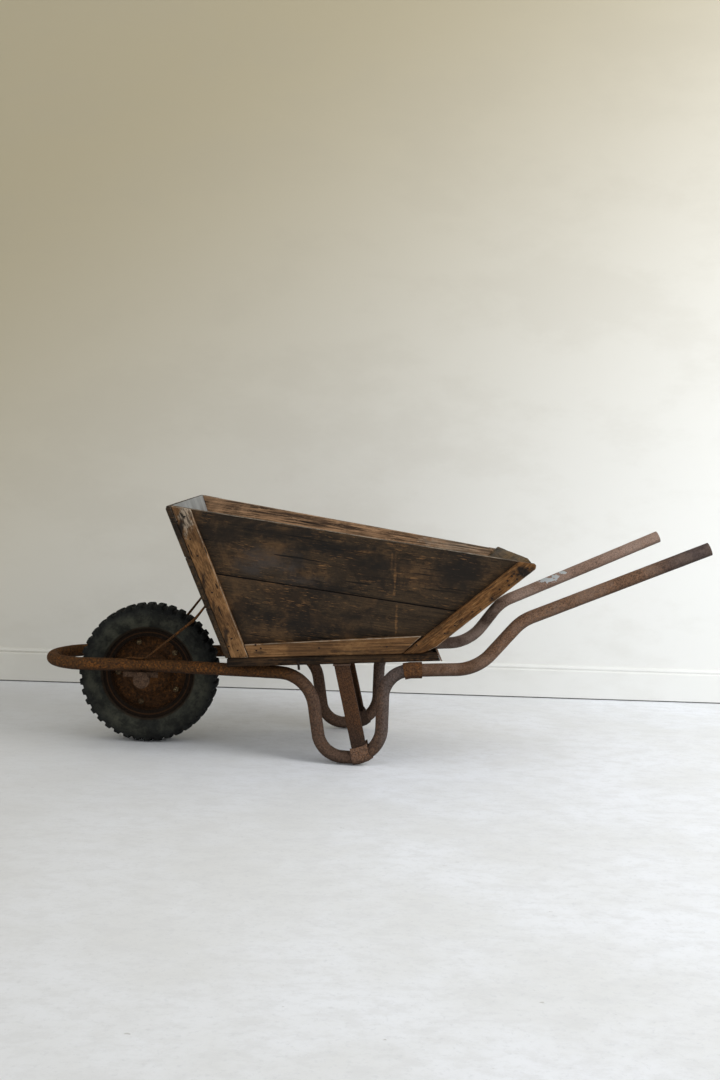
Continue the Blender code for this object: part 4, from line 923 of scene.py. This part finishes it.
class BARROW_OT_battens(bpy.types.Operator):
    """Make the paler battens that frame each side"""
    bl_idname = "barrow.battens"
    bl_label = "Battens"

    def execute(self, context):
        c = colours()
        plans = (("front", ALONG_FRONT, GRAIN_FRONT, Vector((1, 0, FRONT_LEAN))),
                 ("bottom", ALONG_FLOOR, GRAIN_FLOOR, UP),
                 ("rear", ALONG_REAR, GRAIN_REAR, Vector((1, 0, -REAR_LEAN))))
        for side in (-1, 1):
            tag = side_tag(side)
            y = side * 0.27
            for k, (part, along, grain, across) in enumerate(plans):
                node = "%s_batten_%s" % (part, tag)
                grey = []
                if part == "front":
                    def rubbed(co):
                        return 1.0 if co.x > front_at(co.z, 0.040) or co.z > 0.60 else 0.25
                    grey = [((front_at(0.62, 0.042), y, 0.62), (0.020, 0.2, 0.050), 0.75)]
                    black = [((front_at(z, inward), y, z), (wide, 0.2, high), share)
                             for z, inward, wide, high, share in
                             ((0.60, 0.021, 0.008, 0.035, 0.9), (0.46, 0.021, 0.008, 0.045, 0.75),
                              (0.32, 0.022, 0.011, 0.040, 0.85), (0.39, 0.019, 0.005, 0.06, 0.6))]
                elif part == "rear":
                    def rubbed(co):
                        edge = 0.8517 - MIDDLE + REAR_LEAN * (co.z - 0.4000)
                        return 1.0 if co.x > edge - 0.012 else 0.0
                    black = stains(y, (0.968, 0.508, 0.055, 0.030, 0.95),
                                   (0.90, 0.445, 0.03, 0.012, 0.7), (0.79, 0.350, 0.03, 0.010, 0.5))
                else:
                    def rubbed(co):
                        return 1.0 if co.z > 0.288 + FLOOR_SLOPE * (co.x + MIDDLE - 0.29) else 0.0
                    black = stains(y, (0.31, 0.285, 0.03, 0.008, 0.7), (0.55, 0.295, 0.08, 0.006, 0.5))
                mid = c.batten_brown
                if part == "rear":
                    mid = tint(mid, (0.88, 0.78, 0.62))
                strip = worn_plank(node, "%s_strip_%s" % (part, tag), along, across,
                                   sizes().batten_rounding, k * 3.0 + side, rubbed, 0.014)
                finish = wood_finish("%s_batten_%s" % (part, tag), grain, 11.0 + k + side,
                                     shade(mid, 0.30), mid, c.batten_pale, c.weathered_grey,
                                     0.5, 0.45, 1.25, grey, black, gloss=0.03, coarse=0.9)
                hand_over(strip, finish, "frame", "batten_wood", node)
        return {"FINISHED"}


class BARROW_OT_ends(bpy.types.Operator):
    """Make the front and rear boards and the sheet lining"""
    bl_idname = "barrow.ends"
    bl_label = "Front and rear"

    def execute(self, context):
        c = colours()
        dull = shade(c.weathered_grey, 0.45)

        def high(co):
            return 1.0 if co.z > 0.60 else 0.0

        def rear_high(co):
            return 0.9 if co.z > 0.50 else 0.0

        for k in (1, 2, 3):
            node = "front_board_%d" % k
            board = worn_plank(node, "front_plank_%d" % k, ACROSS, UP, sizes().board_rounding,
                               20.0 + k, high)
            finish = wood_finish(node + "_wood", GRAIN_CROSS, 20.0 + k, c.wood_dark,
                                 shade(c.wood_mid, 0.8), c.wood_scratch, dull, 0.8, 0.4)
            hand_over(board, finish, "frame", "dark_board", node)
        for k, part in enumerate(("lower", "upper")):
            node = "rear_board_" + part
            board = worn_plank(node, "rear_plank_" + part, ACROSS, UP, sizes().board_rounding,
                               30.0 + k, rear_high)
            finish = wood_finish(node + "_wood", GRAIN_CROSS, 30.0 + k, c.wood_dark,
                                 (0.168, 0.108, 0.052), (0.320, 0.200, 0.090), dull, 0.45, 0.5)
            hand_over(board, finish, "frame", "dark_board", node)
        sheet = from_node("front_lining_sheet", "front_lining")
        cut_rows(sheet, ACROSS, 0.03)
        cut_rows(sheet, UP, 0.03)
        smooth(sheet)
        hand_over(sheet, zinc_finish(), "frame", "dull_zinc", "front_lining_sheet")
        return {"FINISHED"}


class BARROW_OT_floor_boards(bpy.types.Operator):
    """Make the three rough floor boards"""
    bl_idname = "barrow.floor_boards"
    bl_label = "Floor boards"

    def execute(self, context):
        c = colours()
        rusty = [((x - MIDDLE, y, z), (wide, 0.04, high), share) for x, z, wide, high, share in
                 ((0.700, 0.262, 0.060, 0.03, 0.55), (0.42, 0.250, 0.10, 0.008, 0.35))
                 for y in (-0.216, 0.216)]
        for k in (1, 2, 3):
            node = "floor_board_%d" % k
            board = worn_plank(node, "floor_plank_%d" % k, ALONG_FLOOR, ACROSS,
                               sizes().board_rounding * 1.3, 40.0 + k, step=0.012, chips=2.2)
            finish = wood_finish(node + "_wood", GRAIN_FLOOR, 40.0 + k, (0.012, 0.009, 0.007),
                                 (0.052, 0.031, 0.017), (0.140, 0.072, 0.032),
                                 shade(c.weathered_grey, 0.3), 0.7, 0.8, 1.3,
                                 bright_spots=rusty, shine=0.04)
            hand_over(board, finish, "frame", "floor_wood", node)
        return {"FINISHED"}


def floor_hook(side):
    """Make the small bent hook under the floor's edge on one side."""
    x, z = 0.41, 0.2546
    hook = added(bpy.ops.mesh.primitive_cube_add, "floor_hook_%s_1" % side_tag(side), size=1,
                 location=(x - MIDDLE, side * 0.2178, z - 0.001))
    hook.scale = (0.0062, 0.0026, 0.021)
    settle(hook)
    edit(hook, "EDGE")
    bpy.ops.mesh.bevel(offset=0.0008, segments=2, affect="EDGES")
    leave()
    pick_verts(hook, lambda co: co.z < z - 0.008)
    bpy.ops.transform.translate(value=(0.0022, -side * 0.0006, 0.0))
    leave()
    smooth(hook)
    hand_over(hook, nail_rust(), "frame", "rust_coarse")


class BARROW_OT_nails(bpy.types.Operator):
    """Drive the nails and hooks of both sides"""
    bl_idname = "barrow.nails"
    bl_label = "Nails"

    def execute(self, context):
        radius = sizes().nail_radius
        lean = math.atan(SIDE_FLARE)
        outline = [(0.0004, 0.0), (radius, 0.0), (radius, 0.0011), (radius * 0.7, 0.0016),
                   (0.0004, 0.0017)]
        places = [(0.130, 0.628), (0.112, 0.615), (0.140, 0.570), (0.160, 0.530), (0.195, 0.440),
                  (0.240, 0.318), (0.233, 0.300), (0.256, 0.288), (0.300, 0.306), (0.303, 0.290),
                  (0.315, 0.298), (0.46, 0.302), (0.63, 0.311), (0.705, 0.318), (0.775, 0.352),
                  (0.80, 0.372), (0.842, 0.410), (0.860, 0.418), (0.885, 0.447), (0.905, 0.470),
                  (0.922, 0.492), (0.926, 0.480), (0.938, 0.512), (0.944, 0.499), (0.953, 0.520),
                  (0.957, 0.510), (0.968, 0.524), (0.948, 0.508), (0.932, 0.503), (0.962, 0.520)]
        for side in (-1, 1):
            rng = random.Random(5 + side)
            heads = []
            for x, z in places:
                here = on_side(x + rng.uniform(-0.002, 0.002), z + rng.uniform(-0.002, 0.002),
                               side, BATTEN_FACE - 0.0008)
                head = turned("nail", outline, 12, Vector((0, 0, 0)))
                turn = Matrix.Rotation(lean if side > 0 else -lean, 4, "X")
                if side < 0:
                    turn = turn @ Matrix.Rotation(math.pi, 4, "Z")
                turn = turn @ Matrix.Rotation(rng.uniform(-0.12, 0.12), 4, "X")
                head.data.transform(Matrix.Translation(here) @ turn)
                heads.append(head)
            nails = join(heads, "nails_" + side_tag(side))
            face_out(nails)
            smooth(nails)
            hand_over(nails, nail_rust(), "frame", "rust_coarse")
            floor_hook(side)
        return {"FINISHED"}


def tread_lug(side, pitch):
    """Make one lug from the tread's middle down its shoulder, wider at its foot."""
    stations = ((0.0025, 0.0), (0.0150, 0.0004), (0.0270, 0.0012), (0.0340, 0.0026),
                (0.0385, 0.0052), (0.0418, 0.0092))
    sunk = 0.0015
    cuts = len(stations) - 1
    lug = added(bpy.ops.mesh.primitive_cube_add, "lug", size=1, location=(0, 0, 0))
    for k in range(1, cuts):
        edit(lug)
        bpy.ops.mesh.bisect(plane_co=(0, -0.5 + k / cuts, 0), plane_no=(0, 1, 0))
        leave()
    for vert in lug.data.vertices:
        y, drop = stations[round((vert.co.y + 0.5) * cuts)]
        top = vert.co.z > 0
        share = 0.25 if top else 0.35
        sweep = 0.10 * (1 - y / 0.042)
        angle = pitch * (2 * share * vert.co.x + sweep)
        out = sizes().wheel_radius - drop - (0 if top else sizes().lug_depth + sunk)
        vert.co = Vector((out * math.cos(angle), side * y, out * math.sin(angle)))
    face_out(lug)
    edit(lug, "EDGE", False)
    bpy.ops.mesh.edges_select_sharp(sharpness=math.radians(30))
    bpy.ops.mesh.bevel(offset=0.0008, segments=1, affect="EDGES")
    leave()
    return lug


class BARROW_OT_tyre(bpy.types.Operator):
    """Make the lugged tyre"""
    bl_idname = "barrow.tyre"
    bl_label = "Tyre"

    def execute(self, context):
        count = sizes().lug_count
        base = sizes().wheel_radius - sizes().lug_depth
        half = [(0.1046, 0.0299), (0.1170, 0.0299), (0.1212, 0.0316), (0.1232, 0.0345),
                (0.1262, 0.0362), (0.1275, 0.0382), (0.1300, 0.0384), (0.1345, 0.0415),
                (0.1400, 0.0434), (0.1460, 0.0445), (0.1520, 0.0450), (0.1575, 0.0448),
                (0.1590, 0.0449), (0.1602, 0.0441), (0.1650, 0.0436),
                (base - 0.0105, 0.0426), (base - 0.0068, 0.0402), (base - 0.0035, 0.0352),
                (base - 0.0015, 0.0270), (base - 0.0003, 0.0150)]
        inner = [(base - 0.0065, 0.0130), (base - 0.0085, 0.0240), (0.1680, 0.0325),
                 (0.1600, 0.0375), (0.1480, 0.0385), (0.1350, 0.0355), (0.1270, 0.0310),
                 (0.1165, 0.0209), (0.1035, 0.0200)]
        profile = [(r, -y) for r, y in half] + [(base, 0.0)] + [(r, y) for r, y in reversed(half)]
        profile += [(r, y) for r, y in reversed(inner)] + [(r, -y) for r, y in inner]
        carcass = turned("tyre_carcass", profile, 3 * count, AXLE)
        pitch = 2 * math.pi / count
        lugs = []
        for side in (-1, 1):
            lug = tread_lug(side, pitch)
            for k in range(count):
                turn = Matrix.Rotation(-k * pitch, 4, "Y")
                lugs.append(copied(lug, Matrix.Translation(AXLE) @ turn))
            bpy.data.objects.remove(lug)
        tyre = join([carcass] + lugs, "lugged_tyre")
        rust_away(tyre, 0.0004, 70, 8.0)
        smooth(tyre, 38)
        hand_over(tyre, rubber_finish(), "wheel", "aged_rubber", "tyre")
        return {"FINISHED"}


class BARROW_OT_rim(bpy.types.Operator):
    """Make the pressed rim, its bolts and nuts"""
    bl_idname = "barrow.rim"
    bl_label = "Rim and bolts"

    def execute(self, context):
        face = [(0.0153, 0.0180), (0.0460, 0.0180), (0.0505, 0.0172), (0.0560, 0.0110),
                (0.0600, 0.0060), (0.0616, 0.0022), (0.0640, 0.0006), (0.0680, 0.00015),
                (0.0960, 0.00015), (0.0998, 0.0004), (0.1013, 0.0020), (0.1013, 0.0275),
                (0.1020, 0.0292), (0.1043, 0.0305), (0.1170, 0.0317), (0.1196, 0.0328),
                (0.1210, 0.0350)]
        back = [(0.1208, 0.0362), (0.1194, 0.0363), (0.1180, 0.0350), (0.1150, 0.0338),
                (0.1040, 0.0326), (0.1012, 0.0316), (0.0993, 0.0285), (0.0993, 0.0046),
                (0.0984, 0.0028), (0.0965, 0.0022), (0.0700, 0.0022), (0.0660, 0.0026),
                (0.0638, 0.0044), (0.0616, 0.0080), (0.0578, 0.0130), (0.0522, 0.0188),
                (0.0485, 0.0200), (0.0153, 0.0200)]
        for side in (-1, 1):
            tag = side_tag(side)
            rim = turned("rim_" + tag, [(r, side * y) for r, y in face + back], 96, AXLE, 0.013)
            if side < 0:
                hole = AXLE + Vector((0.0100, 0.0, -0.0713))
                drill = added(bpy.ops.mesh.primitive_cylinder_add, "drill", vertices=24,
                              radius=0.0058, depth=0.02, location=hole,
                              rotation=(math.pi / 2, 0, 0))
                settle(drill)
                apply_modifier(rim, "BOOLEAN", operation="DIFFERENCE", object=drill, solver="EXACT")
                bpy.data.objects.remove(drill)
            rust_away(rim, 0.0005, 130, side * 9)
            smooth(rim)
            hand_over(rim, wheel_rust(), "wheel", "rust_orange", "rim_half_" + tag)
        for k in range(1, 6):
            for kind in ("bolt", "nut"):
                node = "wheel_%s_%d" % (kind, k)
                piece = rusty_iron(node, "rim_%s_%d" % (kind, k), 0.0007, depth=0.0003,
                                   scale=300, seed=k)
                hand_over(piece, bolt_rust(), "wheel", "bolt_steel", node)
        for node in ("hub_barrel", "hub_bush_left", "hub_bush_right"):
            dress(node, wheel_rust() if node == "hub_barrel" else bolt_rust())
        return {"FINISHED"}


class BARROW_OT_axle(bpy.types.Operator):
    """Make the axle's brackets and end caps"""
    bl_idname = "barrow.axle"
    bl_label = "Axle and brackets"

    def execute(self, context):
        for side in (-1, 1):
            tag = side_tag(side)
            bracket = rusty_iron("axle_bracket_" + tag, "axle_plate_" + tag, 0.0012, 0.012,
                                 Vector((1, 0, 0)), 0.0009, 110, side * 11)
            hand_over(bracket, flaky_rust(), "frame", "rust_coarse", "axle_bracket_" + tag)
            low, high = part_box("axle_cap_" + tag)
            inner, outer = (high.y, low.y) if side < 0 else (low.y, high.y)
            radius = (high.z - low.z) / 2
            bore = 0.0098
            rise = outer - inner
            profile = [(0.0004, outer), (radius * 0.55, outer - rise * 0.02),
                       (radius * 0.84, outer - rise * 0.12), (radius * 0.97, outer - rise * 0.32),
                       (radius, outer - rise * 0.55), (radius, inner), (bore, inner),
                       (bore, inner + rise * 0.44), (0.0004, inner + rise * 0.44)]
            cap = turned("axle_end_" + tag, profile, 40, Vector((AXLE.x, 0, AXLE.z)))
            rust_away(cap, 0.0006, 150, side * 12)
            smooth(cap)
            hand_over(cap, flaky_rust(), "frame", "rust_coarse", "axle_cap_" + tag)
            dress("axle_spacer_" + tag, coarse_rust())
        dress("axle", coarse_rust())
        return {"FINISHED"}


def wall_finish():
    """Cream paint with painted shade toward the left and the top and a painted shadow line at the
    floor, seen only from the room's side.
    """
    c = colours()
    f = Finish("plain_wall", 0.95)
    # Painted shade: the wall darkens toward -X and upward, as if lit from the right and below.
    across = f.plus(f.times(f.axis("X"), 0.60), f.times(f.axis("Z"), -0.95))
    f.paint = f.mix(f.band(across, -2.4, 0.5), tint(c.wall, (0.54, 0.47, 0.33)), c.wall)
    patchy = f.cloud(f.mapped(f.place, scale=(1, 1, 2)), 2.4, 6, 0.65)
    f.coat((0.42, 0.38, 0.30), patchy, 0.44, 0.64, 0.10)
    # Painted shadow: a dark line below 4 mm, where the skirting meets the floor.
    f.coat((0.10, 0.09, 0.08), f.axis("Z"), 0.0040, 0.0025, 0.85)
    wall = f.done()
    sides = {0: f.node("NewGeometry", {})["Backfacing"], 1: f.shader.outputs["BSDF"],
             2: f.node("BsdfTransparent", {})["BSDF"]}
    f.put(f.tree.nodes["Material Output"].inputs["Surface"], f.node("MixShader", sides)["Shader"])
    return wall


def floor_finish():
    """Pale floor with soft smudges, a few specks and painted shade that darkens it toward -X."""
    c = colours()
    f = Finish("pale_floor", 0.75)
    broad = f.cloud(f.place, 2.2, 6, 0.65)
    fine = f.cloud(f.mapped(f.place, scale=(1, 1.6, 1)), 16, 8, 0.75)
    grain = f.cloud(f.place, 90, 6, 0.75)
    specks = f.cloud(f.mapped(f.place, move=(3, 1, 0), scale=(1.0, 2.2, 1.0)), 30, 3, 0.6)
    f.paint = f.mix(f.band(broad, 0.34, 0.66), tint(c.floor, (0.91, 0.90, 0.87)), c.floor)
    f.coat(tint(c.floor, (0.84, 0.83, 0.81)), fine, 0.44, 0.62, 0.5)
    f.coat(shade(c.floor, 0.72), grain, 0.52, 0.68, 0.4)
    f.coat((0.30, 0.27, 0.24), specks, 0.72, 0.76, 0.5)
    # Painted shade: the floor darkens toward -X, as if lit from the right.
    f.coat(tint(c.floor, (0.74, 0.71, 0.65)), f.axis("X"), 0.3, -1.4, 0.62)
    return f.done()


def add_lamp(name, place, size, power):
    """Hang a square lamp that looks at the barrow's middle."""
    lamp = bpy.data.lights.new(name, "AREA")
    lamp.shape = "SQUARE"
    lamp.size = size
    lamp.energy = power
    holder = bpy.data.objects.new(name, lamp)
    holder.location = place
    aim = Vector((0, 0, 0.35)) - Vector(place)
    holder.rotation_euler = aim.to_track_quat("-Z", "Y").to_euler()
    bpy.context.scene.collection.objects.link(holder)


def add_camera():
    """Stand the camera before the near side, looking a little down and leaning a little."""
    pitch, roll, yaw = 0.0655, 0.0338, 0.0082
    focal_pixels = 1153.92
    height_pixels = 1080
    ahead = Vector((math.sin(yaw) * math.cos(pitch), math.cos(yaw) * math.cos(pitch),
                    -math.sin(pitch)))
    right = Vector((math.cos(yaw), -math.sin(yaw), 0))
    up = right.cross(ahead)
    level = right * math.cos(roll) + up * math.sin(roll)
    upright = up * math.cos(roll) - right * math.sin(roll)
    lens = bpy.data.cameras.new("camera")
    lens.sensor_width = 36
    lens.lens = focal_pixels / height_pixels * 36
    camera = bpy.data.objects.new("camera", lens)
    spin = Matrix((level, upright, -ahead)).transposed()
    camera.matrix_world = Matrix.Translation((0.5317 - MIDDLE, -3.1081, 0.7668)) @ spin.to_4x4()
    bpy.context.scene.collection.objects.link(camera)
    bpy.context.scene.camera = camera


class BARROW_OT_stage(bpy.types.Operator):
    """Set up the floor, wall, lamps and camera"""
    bl_idname = "barrow.stage"
    bl_label = "Stage"

    def execute(self, context):
        ground = added(bpy.ops.mesh.primitive_plane_add, "studio_floor", size=14,
                       location=(0, 0, 0))
        ground.data.materials.append(floor_finish())
        wall_paint = wall_finish()
        wall = added(bpy.ops.mesh.primitive_plane_add, "studio_wall", size=14,
                     location=(0, WALL_Y, 6.0), rotation=(math.pi / 2, 0, 0))
        settle(wall)
        wall.data.materials.append(wall_paint)
        foot = [(0.000, 0.112), (-0.006, 0.110), (-0.009, 0.104), (-0.006, 0.098), (-0.010, 0.094),
                (-0.010, 0.004), (-0.002, 0.002), (-0.002, 0.0002)]
        rows = len(foot) - 1
        skirting = added(bpy.ops.mesh.primitive_grid_add, "studio_skirting", x_subdivisions=1,
                         y_subdivisions=rows, size=2)
        for vert in skirting.data.vertices:
            y, z = foot[round((1 - vert.co.y) / 2 * rows)]
            vert.co = Vector((vert.co.x * 7, WALL_Y + y, z))
        skirting.data.materials.append(wall_paint)

        scene = context.scene
        scene.world = bpy.data.worlds.new("studio_air")
        scene.world.use_nodes = True
        air = scene.world.node_tree.nodes["Background"]
        air.inputs["Color"].default_value = (0.93, 0.96, 1.0, 1.0)
        air.inputs["Strength"].default_value = 0.70
        add_lamp("key", (2.9, -1.5, 2.6), 2.0, 88.0)
        add_lamp("fill", (-2.4, -2.8, 1.8), 2.6, 12.0)
        add_camera()
        scene.view_settings.view_transform = "Standard"
        return {"FINISHED"}


OPERATORS = (BARROW_OT_tubes, BARROW_OT_ironwork, BARROW_OT_stays, BARROW_OT_sides,
             BARROW_OT_battens, BARROW_OT_ends, BARROW_OT_floor_boards, BARROW_OT_nails,
             BARROW_OT_tyre, BARROW_OT_rim, BARROW_OT_axle, BARROW_OT_stage)


class BARROW_PT_panel(bpy.types.Panel):
    """Buttons and values of the barrow"""
    bl_label = "Weathered wheelbarrow"
    bl_idname = "BARROW_PT_panel"
    bl_space_type = "VIEW_3D"
    bl_region_type = "UI"
    bl_category = "Barrow"

    def draw(self, context):
        for group in (context.scene.barrow_sizes, context.scene.barrow_colours):
            box = self.layout.box()
            for name in group.__annotations__:
                box.prop(group, name)
        for operator in OPERATORS:
            self.layout.operator(operator.bl_idname)


CLASSES = (BarrowSizes, BarrowColours, *OPERATORS, BARROW_PT_panel)


def register():
    for cls in CLASSES:
        bpy.utils.register_class(cls)
    bpy.types.Scene.barrow_sizes = bpy.props.PointerProperty(type=BarrowSizes)
    bpy.types.Scene.barrow_colours = bpy.props.PointerProperty(type=BarrowColours)


def unregister():
    del bpy.types.Scene.barrow_colours
    del bpy.types.Scene.barrow_sizes
    for cls in reversed(CLASSES):
        bpy.utils.unregister_class(cls)


def main():
    register()
    for operator in OPERATORS:
        group, name = operator.bl_idname.split(".")
        getattr(getattr(bpy.ops, group), name)()
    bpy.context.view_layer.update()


if __name__ == "__main__":
    main()
